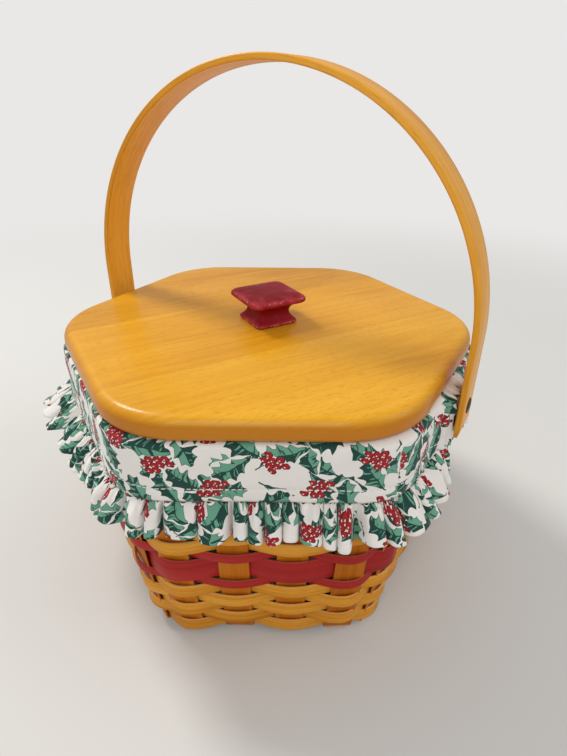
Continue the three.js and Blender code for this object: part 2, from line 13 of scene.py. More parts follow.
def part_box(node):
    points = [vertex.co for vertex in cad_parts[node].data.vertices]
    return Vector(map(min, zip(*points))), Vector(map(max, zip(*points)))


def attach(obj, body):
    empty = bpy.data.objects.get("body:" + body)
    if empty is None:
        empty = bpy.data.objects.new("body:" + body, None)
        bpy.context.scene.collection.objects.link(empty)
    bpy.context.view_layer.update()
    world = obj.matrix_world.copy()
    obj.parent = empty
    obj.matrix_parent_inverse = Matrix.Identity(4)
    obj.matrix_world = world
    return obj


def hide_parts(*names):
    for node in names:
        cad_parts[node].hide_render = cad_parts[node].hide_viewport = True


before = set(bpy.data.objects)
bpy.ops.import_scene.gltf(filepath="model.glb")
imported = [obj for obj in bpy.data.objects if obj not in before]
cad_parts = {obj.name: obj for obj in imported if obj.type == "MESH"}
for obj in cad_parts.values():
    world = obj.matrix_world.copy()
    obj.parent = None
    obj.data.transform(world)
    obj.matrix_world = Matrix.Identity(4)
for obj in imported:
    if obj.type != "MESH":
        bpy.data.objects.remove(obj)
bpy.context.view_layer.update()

MM = 0.001

# The wall, as the basket's solids have it
FACES = 6
FACE_ANGLE = 2 * math.pi / FACES
STRIPS_PER_FACE = 4
UPRIGHTS = FACES * STRIPS_PER_FACE
BASE_APOTHEM = 113 * MM
RIM_APOTHEM = 127 * MM
BASE_CORNER_RADIUS = 28 * MM
RIM_CORNER_RADIUS = 52 * MM
RIM_HEIGHT = 168 * MM
WALL_CURVE = 2.2
UPRIGHT_SPREAD = 1.04
UPRIGHT_TURN_SHARE = 0.5

# The splints. WEAVER_BOW is how far a weaver stands out from the wall's middle at each upright.
STRIP_WIDTH = 19 * MM
STRIP_THICKNESS = 1.1 * MM
STRIP_BEND = 3 * MM
STRIP_EDGE = 0.35 * MM
UPRIGHT_BELOW_RIM = 0.8 * MM
LAYER_STEP = 1.4 * MM
LAYER_NAMES = ["lower", "middle", "upper"]
WEAVER_THICKNESS = 1.4 * MM
WEAVER_BOW = 3.4 * MM
WEAVER_SWAY = 0.35 * MM
ROW_GAP = 0.3 * MM
FIRST_ROW_BOTTOM = 5.2 * MM
TAN_ROW = 9.5 * MM
NARROW_RED_ROW = 6.4 * MM
WIDE_RED_ROW = 17.5 * MM
ROW_HEIGHTS = [TAN_ROW] * 5 + [NARROW_RED_ROW, WIDE_RED_ROW, NARROW_RED_ROW] + [TAN_ROW] * 6
RED_ROWS = (6, 7, 8)
BAND_THICKNESS = 3 * MM
BAND_OFFSET = 2.35 * MM
BAND_EDGE = 1 * MM

# The handle
PIVOT_HEIGHT = 158 * MM
STRAP_THICKNESS = 4 * MM
STRAP_WIDTH = 24 * MM
STRAP_RADIUS = 143.5 * MM
STRAP_EDGE = 1.1 * MM
ARCH_HEIGHT = 201 * MM
ARCH_STEPS = 97
STRAP_END = 23.5 * MM
STRAP_TIP = 10 * MM
STRAP_TIP_THINNING = 0.6
RIVET_SHANK_RADIUS = 2.4 * MM
RIVET_DOME_RADIUS = 5.3 * MM
RIVET_DOME_HEIGHT = 1.3 * MM
RIVET_TAIL_RADIUS = 4 * MM
RIVET_TAIL_HEIGHT = 1.3 * MM

# The lid
LID_APOTHEM = 132 * MM
LID_CORNER_RADIUS = 58 * MM
LID_TOP_ROUNDING = 7 * MM
LID_UNDER_ROUNDING = 4 * MM
LID_GRAIN_ANGLE = math.radians(60)
LID_SEAM = 44.5 * MM
SEAM_HALF = 0.06 * MM
CLEAT_EDGE = 1.2 * MM
KNOB_SEAT = 0.3 * MM
KNOB_CORNER_SHARE = 0.27

# The liner. BEHIND_STRAP is how far to each side of a leg's middle the strap hides the skirt.
CLOTH = 0.8 * MM
CLOTH_BELOW_TOP = 0.5 * MM
LINER_INSET = 6.8 * MM
RIM_TURN = 1.5 * MM
BAG_SLACK = 0.9 * MM
SKIRT_BOTTOM = 132 * MM
SKIRT_CORNER_RADIUS = 40 * MM
BEHIND_STRAP = 10 * MM
SEAM_EASE = 0.2 * MM
RUFFLE_DROP = 19.5 * MM
RUFFLE_FOLDS = 76
GATHERS_PER_FOLD = 3
STITCH_ABOVE_EDGE = 8.5 * MM
STITCH = 2.6 * MM
STITCH_PITCH = 3.4 * MM

random = np.random.RandomState(7)


# Colours are sRGB hex values, and Blender works in linear light

def linear(hex_colour):
    channels = [int(hex_colour[i:i + 2], 16) / 255 for i in (0, 2, 4)]
    values = [c / 12.92 if c <= 0.04045 else ((c + 0.055) / 1.055) ** 2.4 for c in channels]
    return (*values, 1.0)


def add_node(tree, kind, *values, **settings):
    """Adds one node with its settings, and sets or links its inputs, in order or named in a dict.

    Its operation, or a mix's data type, may follow its kind. In order, MapRange takes its value, the
    ends of its range and what they become, and Mix its share and two colours. A node that is given
    stands for its first output in use, and a hex value for its colour.
    """
    kind, _, mode = kind.partition(" ")
    node = tree.nodes.new(kind if kind.startswith("NodeGroup") else f"ShaderNode{kind}")
    if mode:
        settings["data_type" if kind == "Mix" else "operation"] = mode
    for name, setting in settings.items():
        setattr(node, name, setting)
    pairs = list(zip([socket for socket in node.inputs if socket.enabled], values))
    if values and isinstance(values[0], dict):
        pairs = [(node.inputs[name], value) for name, value in values[0].items()]
    for socket, value in pairs:
        if isinstance(value, bpy.types.Node):
            value = next(output for output in value.outputs if output.enabled)
        if isinstance(value, bpy.types.NodeSocket):
            tree.links.new(value, socket)
        else:
            socket.default_value = linear(value) if isinstance(value, str) else value
    return node


def new_material(name):
    """An empty material, and the function that adds a node to it."""
    material = bpy.data.materials.new(name)
    material.use_nodes = True
    material.node_tree.nodes.clear()
    return material, partial(add_node, material.node_tree)


# Materials

def stained_wood(
    name, tones, roughness, coat, along, across, pore_depth, pore_ink, underside_painted_shade=0.0, rubbed_top_and_painted_highlight=0.0,
):
    """Maple or ash with a honey or cranberry stain under satin lacquer, its grain along GrainMap's U.

    The stain gathers in the earlywood, so the eye sees long soft streaks, short dark pores and a
    slow drift of colour, under a thin clear sheen. Streaks are counted to a metre, along the grain
    and across it: 5 to 12 make them 80 to 200 mm long, and 150 to 500 make them 2 to 7 mm wide.
    """
    pale, middle, dark = tones
    material, add = new_material(name)
    place = add("UVMap", uv_map="GrainMap")
    fibres = []
    for finer_along, finer_across, look in (
        (0.6, 0.10, {"Detail": 2.0}),
        (1, 1, {"Detail": 6.0, "Roughness": 0.72, "Distortion": 0.15}),
        (14, 4, {"Detail": 3.0}),
    ):
        scale = (along * finer_along, across * finer_across, 1)
        stretched = add("Mapping", {"Vector": place, "Scale": scale})
        fibres.append(add("TexNoise", {"Vector": stretched, "Scale": 1.0, **look}))
    drift, streaks, pores = fibres
    grain = add("Math ADD", streaks, drift)
    stain = add("ValToRGB", add("MapRange", grain, 0.7, 1.3))
    stops = stain.color_ramp.elements
    stops[0].color = linear(dark)
    stops[1].color = linear(pale)
    stops.new(0.45).color = linear(middle)
    pore_marks = add("MapRange", pores, 0.34, 0.46, 1.0, 0.0)
    colour = add("Mix RGBA", add("Math MULTIPLY", pore_marks, pore_ink), stain, dark)
    # Faces that turn down are darkened as painted shade. Faces that turn up, such as a splint's upper
    # edge, which is cut across its fibres and rubbed, are paler, partly from the rubbing and partly as
    # a painted highlight
    facing = add("SeparateXYZ", add("NewGeometry").outputs["Normal"]).outputs["Z"]
    for first, full, most, tone in (
        (0.9, 0.25, underside_painted_shade, "B66C06"), (0.55, 0.9, rubbed_top_and_painted_highlight, "F2D09A"),
    ):
        share = add("MapRange", facing, first, full, 0.0, most)
        colour = add("Mix RGBA", share, colour, tone)
    relief = add("Math MULTIPLY_ADD", pore_marks, -0.5, grain)
    add("OutputMaterial", add("BsdfPrincipled", {
        "Base Color": colour,
        "Roughness": add("MapRange", grain, 0.7, 1.3, roughness + 0.08, roughness - 0.06),
        "Normal": add("Bump", {"Height": relief, "Strength": 0.5, "Distance": pore_depth}),
        "Specular IOR Level": 0.16,
        "Coat Weight": coat,
        "Coat Roughness": 0.14,
    }))
    return material


def worn_paint(name, paint, rubbed, wood):
    """Cranberry brush paint on a turned and sawn maple knob, rubbed through along its edges.

    The paint is a little uneven and satin, in patches of about 8 mm, and paler where hands have
    polished it. Bare wood shows in 4 mm chips where the attribute EdgeWear is high.
    """
    material, add = new_material(name)
    place = add("TexCoord").outputs["Object"]
    mottle = add("TexNoise", {"Vector": place, "Scale": 120.0, "Detail": 4.0, "Roughness": 0.6})
    chips = add("TexNoise", {"Vector": place, "Scale": 260.0, "Detail": 5.0, "Roughness": 0.75})
    edge = add("Attribute", attribute_name="EdgeWear").outputs["Fac"]
    polish = add("Math MULTIPLY_ADD", edge, 0.3, mottle)
    faded = add("Mix RGBA", add("MapRange", polish, 0.56, 1.05), paint, rubbed)
    chipped = add("MapRange", add("Math MULTIPLY", edge, chips), 0.52, 0.62, 0.0, 0.8)
    height = add("Math MULTIPLY_ADD", chipped, -0.8, mottle)
    add("OutputMaterial", add("BsdfPrincipled", {
        "Base Color": add("Mix RGBA", chipped, faded, wood),
        "Roughness": add("MapRange", mottle, 0.3, 0.7, 0.5, 0.36),
        "Normal": add("Bump", {"Height": height, "Strength": 0.35, "Distance": 0.3 * MM}),
        "Specular IOR Level": 0.12,
    }))
    return material


def aged_metal(name, bright, dull, roughness):
    """A pressed brass or bronzed steel fastener, darkened by handling, with faint 3 mm clouds."""
    material, add = new_material(name)
    place = add("TexCoord").outputs["Object"]
    tarnish = add("TexNoise", {"Vector": place, "Scale": 380.0, "Detail": 5.0, "Roughness": 0.65})
    add("OutputMaterial", add("BsdfPrincipled", {
        "Base Color": add("Mix RGBA", add("MapRange", tarnish, 0.35, 0.65), bright, dull),
        "Roughness": add("MapRange", tarnish, 0.3, 0.7, roughness - 0.08, roughness + 0.12),
        "Normal": add("Bump", {"Height": tarnish, "Strength": 0.2, "Distance": 0.1 * MM}),
        "Metallic": 1.0,
    }))
    return material


# The holly print. The cloth's flat place comes in as millimetres, and is cut into cells, each with
# its own random turn, so that one leaf or one cluster of berries lies in each.

CELL_INPUTS = {"Place": "Vector", "Cell": "Float", "Tilt": "Float", "Seed": "Float", "Stray": "Float"}
MOTIF_OUTPUTS = {"Colour": "Color", "Mask": "Float", "Blank": "Float"}


def new_group(name, made):
    """A node group fed with CELL_INPUTS, with the names and kinds of what it makes, the function that
    adds a node to it, and what it is given."""
    group = bpy.data.node_groups.new(name, "ShaderNodeTree")
    for way, sockets in (("INPUT", CELL_INPUTS), ("OUTPUT", made)):
        for socket, kind in sockets.items():
            group.interface.new_socket(socket, in_out=way, socket_type=f"NodeSocket{kind}")
    add = partial(add_node, group)
    return group, add, add("NodeGroupInput").outputs


def cell_group():
    """Place in a motif's own cell, from a place in millimetres on the cloth.

    The cells lie in a tilted grid. Each has its own random turn, and its middle strays a little.
    """
    group, add, given = new_group("print_cells", {"Local": "Vector", "Chance": "Float"})
    tilt = {"Vector": given["Place"], "Angle": given["Tilt"]}
    tilted = add("VectorRotate", tilt, rotation_type="Z_AXIS")
    cell_size = add("CombineXYZ", given["Cell"], given["Cell"], given["Cell"])
    at = add("SeparateXYZ", add("VectorMath DIVIDE", tilted, cell_size)).outputs
    row = add("Math FLOOR", at["Y"])
    moved = add("Math MULTIPLY_ADD", row, 0.618, at["X"])
    column = add("Math FLOOR", moved)
    draw = add("TexWhiteNoise", add("CombineXYZ", column, row, given["Seed"]))
    chance = add("SeparateColor", draw.outputs["Color"]).outputs
    in_column = add("Math SUBTRACT", moved, column)
    in_cell = add("CombineXYZ", in_column, add("Math SUBTRACT", at["Y"], row))
    strayed = add("CombineXYZ", chance["Green"], chance["Blue"])
    in_mm = []
    for share, size in ((in_cell, given["Cell"]), (strayed, given["Stray"])):
        from_middle = add("VectorMath SUBTRACT", share, (0.5, 0.5, 0.0))
        in_mm.append(add("VectorMath SCALE", from_middle, size))
    turned = add("VectorRotate", {
        "Vector": add("VectorMath SUBTRACT", *in_mm),
        "Angle": add("Math MULTIPLY", chance["Red"], 2 * math.pi),
    }, rotation_type="Z_AXIS")
    add("NodeGroupOutput", {"Local": turned, "Chance": chance["Blue"]})
    return group


def place_in_cell(add, cells, given, place):
    """The cell group's outputs, fed with a group's own inputs and a place."""
    fed = {name: given[name] for name in CELL_INPUTS}
    return add("Group", {**fed, "Place": place}, node_tree=cells).outputs


def leaf_group(cells):
    """A holly leaf in each cell, from a place in millimetres: its two inks, its mask, and the blank
    cloth kept round it."""
    half_length = 12.5
    half_width = 7.6
    stem_length = 3.0
    stem_half = 0.42
    rib_half = 0.38
    border = 0.3
    margin = 0.7
    spines = 4
    group, add, given = new_group("print_leaves", MOTIF_OUTPUTS)
    cell = place_in_cell(add, cells, given, given["Place"])
    flat = add("SeparateXYZ", cell["Local"]).outputs
    # The midrib bends as a shallow bow
    squared = add("Math POWER", flat["X"], 2.0)
    across = add("Math MULTIPLY_ADD", squared, -0.012, flat["Y"])
    side = add("Math ABSOLUTE", across)
    # The spines lean towards the leaf's tip
    lean = add("Math MULTIPLY_ADD", side, -0.5, flat["X"])
    along = add("MapRange", lean, -half_length, half_length)
    arch, waves = (
        add("Math SINE", add("Math MULTIPLY", along, half_turns * math.pi))
        for half_turns in (1, spines)
    )
    whole = add("Math MULTIPLY", add("Math POWER", arch, 0.75), half_width)
    bitten = add("Math MULTIPLY_ADD", add("Math ABSOLUTE", waves), -0.42, 1.0)
    reach = add("Math MULTIPLY", whole, bitten)
    in_stem = add("Math LESS_THAN", side, stem_half)
    at_foot = add("Math COMPARE", flat["X"], -half_length, stem_length)
    stem = add("Math MULTIPLY", in_stem, at_foot)
    # One half is pale with dark brush strokes along the side veins, the other dark with pale ones
    strokes = add("TexNoise", {
        "Vector": add("CombineXYZ", *[
            add("Math MULTIPLY", part, scale)
            for part, scale in ((lean, 0.62), (side, 0.10), (cell["Chance"], 90.0))
        ]),
        "Scale": 1.0, "Detail": 1.0,
    })
    half = add("Math GREATER_THAN", across, 0.0)
    tone = add("Math MULTIPLY_ADD", half, 0.2, strokes)
    ink = add("MapRange", tone, 0.575, 0.61)
    inside = add("Math SUBTRACT", reach, side)
    for from_line, line in ((side, rib_half), (inside, border)):
        ink = add("Math MULTIPLY", ink, add("Math GREATER_THAN", from_line, line))
    near_side = add("Math LESS_THAN", side, add("Math ADD", whole, margin))
    near_ends = add("Math COMPARE", lean, 0.0, half_length + margin)
    add("NodeGroupOutput", {
        "Colour": add("Mix RGBA", ink, "1B423B", "659D87"),
        "Mask": add("Math MAXIMUM", add("Math LESS_THAN", side, reach), stem),
        "Blank": add("Math MULTIPLY", near_side, near_ends),
    })
    return group


def berry_group(cells):
    """Clusters of round berries, from millimetres: their ink with a white glint, their mask, and the
    blank cloth kept round them.

    The berries of a cluster lie in a loose triangular packing and hide each other's edges. The
    skewed place has that packing's middles on whole numbers, where the Voronoi texture finds them.
    """
    step = 4.3
    radius = 2.6
    cluster_radius = 6.9
    glint_radius = 0.42
    margin = 1.0
    row_step = step * math.sqrt(3) / 2
    group, add, given = new_group("print_berries", MOTIF_OUTPUTS)
    flat = add("SeparateXYZ", given["Place"]).outputs
    row = add("Math MULTIPLY", flat["Y"], 1 / row_step)
    level = add("Math MULTIPLY", flat["X"], 1 / step)
    column = add("Math MULTIPLY_ADD", row, -0.5, level)
    dots = add("TexVoronoi", {
        "Vector": add("CombineXYZ", column, row), "Scale": 1.0, "Randomness": 0.28,
    }, voronoi_dimensions="2D")
    found = add("SeparateXYZ", dots.outputs["Position"]).outputs
    unskewed = add("Math MULTIPLY_ADD", found["Y"], 0.5, found["X"])
    upright = add("CombineXYZ", unskewed, found["Y"])
    middle = add("VectorMath MULTIPLY", upright, (step, row_step, 0.0))
    from_berry = add("VectorMath SUBTRACT", given["Place"], middle)
    distance = add("VectorMath LENGTH", from_berry)
    # A berry is printed whole where its middle lies in a cluster, which is a little longer than wide
    cell = place_in_cell(add, cells, given, middle)
    stretched = add("VectorMath MULTIPLY", cell["Local"], (0.82, 1.25, 0.0))
    from_cluster = add("VectorMath LENGTH", stretched)
    in_cluster = add("Math LESS_THAN", from_cluster, cluster_radius)
    mask, blank = (
        add("Math MULTIPLY", add("Math LESS_THAN", distance, reach), in_cluster)
        for reach in (radius, radius + margin)
    )
    shade = add("MapRange", distance, radius * 0.55, radius * 0.85)
    red = add("Mix RGBA", shade, "9E2128", "6E0F16")
    from_glint = add("VectorMath DISTANCE", from_berry, (-0.5, 0.6, 0.0))
    glint = add("Math LESS_THAN", from_glint, glint_radius)
    colour = add("Mix RGBA", glint, red, "EBCBC8")
    add("NodeGroupOutput", {"Colour": colour, "Mask": mask, "Blank": blank})
    return group


# Each layer of the print: its motif, the cell's size and the grid's tilt, the draw's number, how far
# the motifs stray in their cells, and where the layer lies. Sizes are in millimetres.
PRINT_LAYERS = [
    ("leaves", 37.0, 2.7, 29.0, 9.0, (13.0, -7.0, 0.0)),
    ("leaves", 33.0, 2.05, 17.0, 6.0, (-9.0, 23.0, 0.0)),
    ("leaves", 30.0, 1.15, 11.0, 4.0, (17.0, 1.0, 0.0)),
    ("leaves", 28.0, 0.35, 3.0, 3.0, (4.0, 9.0, 0.0)),
    ("berries", 33.0, 0.7, 23.0, 12.0, (0.0, 12.0, 0.0)),
]


def holly_cotton(name):
    """Plain-weave cotton with a screen print of tossed holly leaves and berries on off-white.

    The cloth is matt with a faint fuzz, the print lies flat in it, and the thread shows only as a
    fine tooth. The thread count is drawn about twice as coarse as the real one, so that it shows.
    """
    threads_per_mm = 1.6
    material, add = new_material(name)
    in_mm = add("VectorMath SCALE", add("UVMap", uv_map="ClothMap"), 1000.0)
    # A slow wobble bends the leaves, so that no two have one outline
    wobble = add("TexNoise", {"Vector": in_mm, "Scale": 0.12, "Detail": 1.0}).outputs["Color"]
    pushed = add("VectorMath SUBTRACT", wobble, (0.5, 0.5, 0.5))
    bent = add("VectorMath MULTIPLY_ADD", pushed, (3.5, 3.5, 0.0), in_mm)
    drift = add("TexNoise", {"Vector": in_mm, "Scale": 0.05, "Detail": 2.0})
    cloth = add("Mix RGBA", drift, "E9E6E2", "DEDAD6")
    cells = cell_group()
    motifs = {"leaves": (leaf_group(cells), bent), "berries": (berry_group(cells), in_mm)}
    colour = cloth
    for motif, cell_size, tilt, seed, stray, offset in PRINT_LAYERS:
        drawing, ground = motifs[motif]
        layer = add("Group", {
            "Place": add("VectorMath ADD", ground, offset),
            "Cell": cell_size, "Tilt": tilt, "Seed": seed, "Stray": stray,
        }, node_tree=drawing).outputs
        colour = add("Mix RGBA", layer["Blank"], colour, cloth)
        colour = add("Mix RGBA", layer["Mask"], colour, layer["Colour"])
    waves = add("VectorMath SINE", add("VectorMath SCALE", in_mm, threads_per_mm * math.pi))
    warp = add("SeparateXYZ", add("VectorMath ABSOLUTE", waves)).outputs
    tooth = add("Math MAXIMUM", warp["X"], warp["Y"])
    add("OutputMaterial", add("BsdfPrincipled", {
        "Base Color": colour,
        "Roughness": 0.88,
        "Normal": add("Bump", {"Height": tooth, "Strength": 0.35, "Distance": 0.12 * MM}),
        "Specular IOR Level": 0.25,
        "Sheen Weight": 0.12,
    }))
    return material


def sewing_thread(name):
    """White cotton sewing thread, twisted, so each stitch is a small matt ridge, mottled each 1 mm."""
    material, add = new_material(name)
    place = add("TexCoord").outputs["Object"]
    twist = add("TexNoise", {"Vector": place, "Scale": 900.0, "Detail": 2.0})
    colour = add("Mix RGBA", twist, "DAD8D4", "F4F2EE")
    add("OutputMaterial", add("BsdfPrincipled", {"Base Color": colour, "Roughness": 0.8}))
    return material


# Lid boards are sawn from different planks, so their tones differ a little
LID_TONES = {
    "back": ("D89B24", "CC8E18", "B97A10"),
    "middle": ("E2A52A", "D99A1E", "C98814"),
    "front": ("E4AA2E", "DB9F22", "CB8C16"),
}
# The lid boards' downward faces, the underside of the bullnose, are darkened as painted shade
lid_maple = {
    board: stained_wood(
        f"stained_maple_lid_{board}", tones, roughness=0.36, coat=0.2, along=12.0, across=210.0,
        pore_depth=0.05 * MM, pore_ink=0.6, underside_painted_shade=0.85,
    )
    for board, tones in LID_TONES.items()
}
cleat_maple = stained_wood(
    "stained_maple_cleat", LID_TONES["back"], roughness=0.45, coat=0.1, along=5.0, across=150.0,
    pore_depth=0.05 * MM, pore_ink=0.3,
)
handle_ash = stained_wood(
    "bent_ash_honey", ("EEB046", "DF9C2C", "C07C16"), roughness=0.42, coat=0.15, along=5.0,
    across=300.0, pore_depth=0.08 * MM, pore_ink=0.4,
)
band_ash = stained_wood(
    "bent_ash_band", ("D6953A", "C27F24", "A06214"), roughness=0.5, coat=0.1, along=5.0,
    across=300.0, pore_depth=0.08 * MM, pore_ink=0.4,
)
# The weavers' upward faces are drawn paler, partly as rubbed fibres and partly as a painted highlight
tan_splint = stained_wood(
    "maple_splint_honey", ("E3A540", "D18D26", "AC690F"), roughness=0.52, coat=0.03, along=7.0,
    across=500.0, pore_depth=0.1 * MM, pore_ink=0.35, rubbed_top_and_painted_highlight=0.4,
)
# The uprights are the same honey splint as the weavers, drawn in darker tones as painted shade for
# their recessed places behind the weavers
upright_splint = stained_wood(
    "maple_splint_honey_painted_shade", ("C4740E", "B8670A", "A05406"), roughness=0.52, coat=0.03, along=7.0,
    across=300.0, pore_depth=0.1 * MM, pore_ink=0.25,
)
red_splint = stained_wood(
    "maple_splint_cranberry", ("B42C2A", "A42220", "8A1A1A"), roughness=0.5, coat=0.03, along=5.0,
    across=260.0, pore_depth=0.1 * MM, pore_ink=0.25, rubbed_top_and_painted_highlight=0.12,
)
knob_paint = worn_paint("brushed_cranberry_paint", "880F1B", "BC4650", "D88A80")
bronzed_steel = aged_metal("bronzed_steel", "6B4A2C", "2B1D14", 0.38)
dull_brass = aged_metal("dull_brass", "A98A50", "6E5530", 0.34)
cotton = holly_cotton("holly_print_cotton")
thread = sewing_thread("white_sewing_thread")


# Meshes

def place_mesh(mesh):
    """A smooth-shaded piece of the mesh's own name, set in the scene."""
    mesh.shade_smooth()
    piece = bpy.data.objects.new(mesh.name, mesh)
    bpy.context.scene.collection.objects.link(piece)
    return piece


def mesh_from(built, name):
    mesh = bpy.data.meshes.new(name)
    built.to_mesh(mesh)
    built.free()
    return mesh


def mesh_object(name, points, faces, corner_uv=None, uv_name="GrainMap"):
    """A piece from points and faces. corner_uv has one pair for each face's corners, in order."""
    mesh = bpy.data.meshes.new(name)
    mesh.from_pydata([tuple(p) for p in points], [], [tuple(f) for f in faces])
    if corner_uv is not None:
        layer = mesh.uv_layers.new(name=uv_name)
        layer.uv.foreach_set("vector", np.asarray(corner_uv, np.float32).ravel())
    return place_mesh(mesh)


def woven_grid(name, points, u, v, close_rows=False, close_columns=False, uv_name="GrainMap"):
    """A surface over a grid of points[row, column]. u and v give the flat place of each grid line.

    u runs along the rows and v along the columns, and each has one value more than it has lines
    where that direction is closed. Closed rows run round the basket, which turns the faces over.
    """
    rows, columns = points.shape[:2]
    row_spans = rows if close_rows else rows - 1
    column_spans = columns if close_columns else columns - 1
    row = np.repeat(np.arange(row_spans), column_spans)
    column = np.tile(np.arange(column_spans), row_spans)
    flat_places = [(row, column), (row, column + 1), (row + 1, column + 1), (row + 1, column)]
    if close_rows:
        flat_places.reverse()
    faces = np.stack([r % rows * columns + c % columns for r, c in flat_places], axis=1)
    uv = np.stack([np.stack([u[r], v[c]], axis=1) for r, c in flat_places], axis=1)
    return mesh_object(name, points.reshape(-1, 3), faces.tolist(), uv.reshape(-1, 2), uv_name)


def cap_ends(piece, rows, columns):
    """Closes both ends of a tube, each cap with the flat places of the faces it meets."""
    built = bmesh.new()
    built.from_mesh(piece.data)
    built.verts.ensure_lookup_table()
    layer = built.loops.layers.uv.active
    for first, flip in ((0, False), ((rows - 1) * columns, True)):
        ring = [built.verts[first + column] for column in range(columns)]
        cap = built.faces.new(ring if flip else ring[::-1])
        for corner in cap.loops:
            corner[layer].uv = next(x for x in corner.vert.link_loops if x.face != cap)[layer].uv
    bmesh.ops.recalc_face_normals(built, faces=built.faces)
    built.to_mesh(piece.data)
    built.free()


def lengths(path, closed=False):
    """How far along the path each point lies, with the whole length last where it is closed."""
    ends = np.concatenate([path, path[:1]]) if closed else path
    steps = np.linalg.norm(np.diff(ends, axis=0), axis=1)
    return np.concatenate([[0.0], np.cumsum(steps)])


def strip_section(width, thickness, edge, steps=2):
    """A flat strip's section with rounded edges, as pairs across the width and the thickness."""
    pairs = []
    corners = [(1, -1, -90), (1, 1, 0), (-1, 1, 90), (-1, -1, 180)]
    for side, face, start in corners:
        for step in range(steps + 1):
            angle = math.radians(start + 90 * step / steps)
            pairs.append((
                side * (width / 2 - edge) + edge * math.cos(angle),
                face * (thickness / 2 - edge) + edge * math.sin(angle),
            ))
    return np.array(pairs)


def smooth_share(x):
    x = np.clip(x, 0.0, 1.0)
    return x * x * (3 - 2 * x)


def unit(vectors):
    return vectors / np.linalg.norm(vectors, axis=-1, keepdims=True)


def finish_piece(piece, material, body, *nodes, slot=None, crease=None):
    """Gives the piece its material, sets it on its body and hides the solids it stands for."""
    piece.data.materials.append(material)
    if crease is not None:
        piece.data.set_sharp_from_angle(angle=math.radians(crease))
    if nodes:
        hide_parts(*nodes)
    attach(piece, body)


# The rounded hexagon

def on_hexagon(face, along, apothem, radius):
    """The x, y and outward angle of points a given way along a face from its middle."""
    flat_half = (apothem - radius) * math.tan(FACE_ANGLE / 2)
    beyond = np.maximum(np.abs(along) - flat_half, 0)
    turn = np.sign(along) * beyond / radius
    straight = np.sign(along) * np.minimum(np.abs(along), flat_half)
    face_angle = face * FACE_ANGLE
    outward = apothem - radius + radius * np.cos(turn)
    sideways = straight + radius * np.sin(turn)
    x = outward * np.cos(face_angle) - sideways * np.sin(face_angle)
    y = outward * np.sin(face_angle) + sideways * np.cos(face_angle)
    return x, y, face_angle + turn


def side_length(apothem, radius):
    return 2 * ((apothem - radius) * math.tan(FACE_ANGLE / 2) + radius * FACE_ANGLE / 2)


def round_hexagon(share, apothem, radius):
    """As on_hexagon, for a share of the way round, which starts at the edge of the first face."""
    face = np.floor(share * FACES)
    along = (share * FACES - face - 0.5) * side_length(apothem, radius)
    return on_hexagon(face, along, apothem, radius)


def wall_apothem(height):
    below_rim = np.maximum(1 - height / RIM_HEIGHT, 0)
    return BASE_APOTHEM + (RIM_APOTHEM - BASE_APOTHEM) * (1 - below_rim ** WALL_CURVE)


def wall_radius(height):
    return BASE_CORNER_RADIUS + (RIM_CORNER_RADIUS - BASE_CORNER_RADIUS) * height / RIM_HEIGHT


# The weave

def upright_point(face, place, height):
    apothem = wall_apothem(height)
    radius = wall_radius(height)
    pitch = side_length(apothem, radius) / STRIPS_PER_FACE * UPRIGHT_SPREAD
    return on_hexagon(face, place * pitch, apothem, radius)


def upright_angle(face, place):
    turned = upright_point(face, place, RIM_HEIGHT)[2]
    return face * FACE_ANGLE + (turned - face * FACE_ANGLE) * UPRIGHT_TURN_SHARE


PLACES = np.arange(STRIPS_PER_FACE) - (STRIPS_PER_FACE - 1) / 2
UPRIGHT_FACES = np.repeat(np.arange(FACES), STRIPS_PER_FACE)
UPRIGHT_PLACES = np.tile(PLACES, FACES)


def hoop_path(height, offsets, steps_between):
    """A closed line round the wall at one height. It runs level with each upright at that upright's
    offset from the wall, and bends smoothly from one to the next. Returns points and normals."""
    x, y, _ = upright_point(UPRIGHT_FACES, UPRIGHT_PLACES, height)
    angles = upright_angle(UPRIGHT_FACES, UPRIGHT_PLACES)
    centres = np.column_stack([x + offsets * np.cos(angles), y + offsets * np.sin(angles)])
    tangents = np.column_stack([-np.sin(angles), np.cos(angles)])
    following = np.roll(centres, -1, axis=0)
    chords = np.linalg.norm(following - centres, axis=1)[:, None]
    s = np.linspace(0, 1, steps_between, endpoint=False)[None, :, None]
    path = (
        (2 * s**3 - 3 * s**2 + 1) * centres[:, None]
        + (s**3 - 2 * s**2 + s) * (tangents * chords)[:, None]
        + (3 * s**2 - 2 * s**3) * following[:, None]
        + (s**3 - s**2) * (np.roll(tangents, -1, axis=0) * chords)[:, None]
    ).reshape(-1, 2)
    ahead = unit(np.roll(path, -1, axis=0) - np.roll(path, 1, axis=0))
    return path, np.stack([ahead[:, 1], -ahead[:, 0]], axis=1)


def woven_hoop(name, bottom, height, offsets, thickness, edge, steps_between=10, sway=0.0):
    """A flat strip bent round the wall, with a little sway up and down and in its width. A straight
    strip bends only to an upright ring, so its faces stand upright although the wall leans."""
    swell_share = 0.02
    section = strip_section(height, thickness, edge)
    count = UPRIGHTS * steps_between
    turn = np.linspace(0, 2 * math.pi, count, endpoint=False)
    waves = [(random.randint(3, 9), random.uniform(0, 2 * math.pi)) for _ in range(4)]
    lift = sway * sum(np.sin(n * turn + phase) for n, phase in waves[:2]) / 2
    swell = 1 + swell_share * np.sin(waves[2][0] * 2 * turn + waves[2][1])
    middle = bottom + height / 2
    path, normals = hoop_path(middle, offsets, steps_between)
    points = np.empty((count, len(section), 3))
    for column, (rise, depth) in enumerate(section):
        points[:, column, :2] = path + normals * depth
        points[:, column, 2] = middle + rise * swell + lift
    run = lengths(points[:, 0], closed=True) + random.uniform(0, 3)
    around = lengths(section, closed=True) + random.uniform(0, 3)
    return woven_grid(name, points, run, around, close_rows=True, close_columns=True)


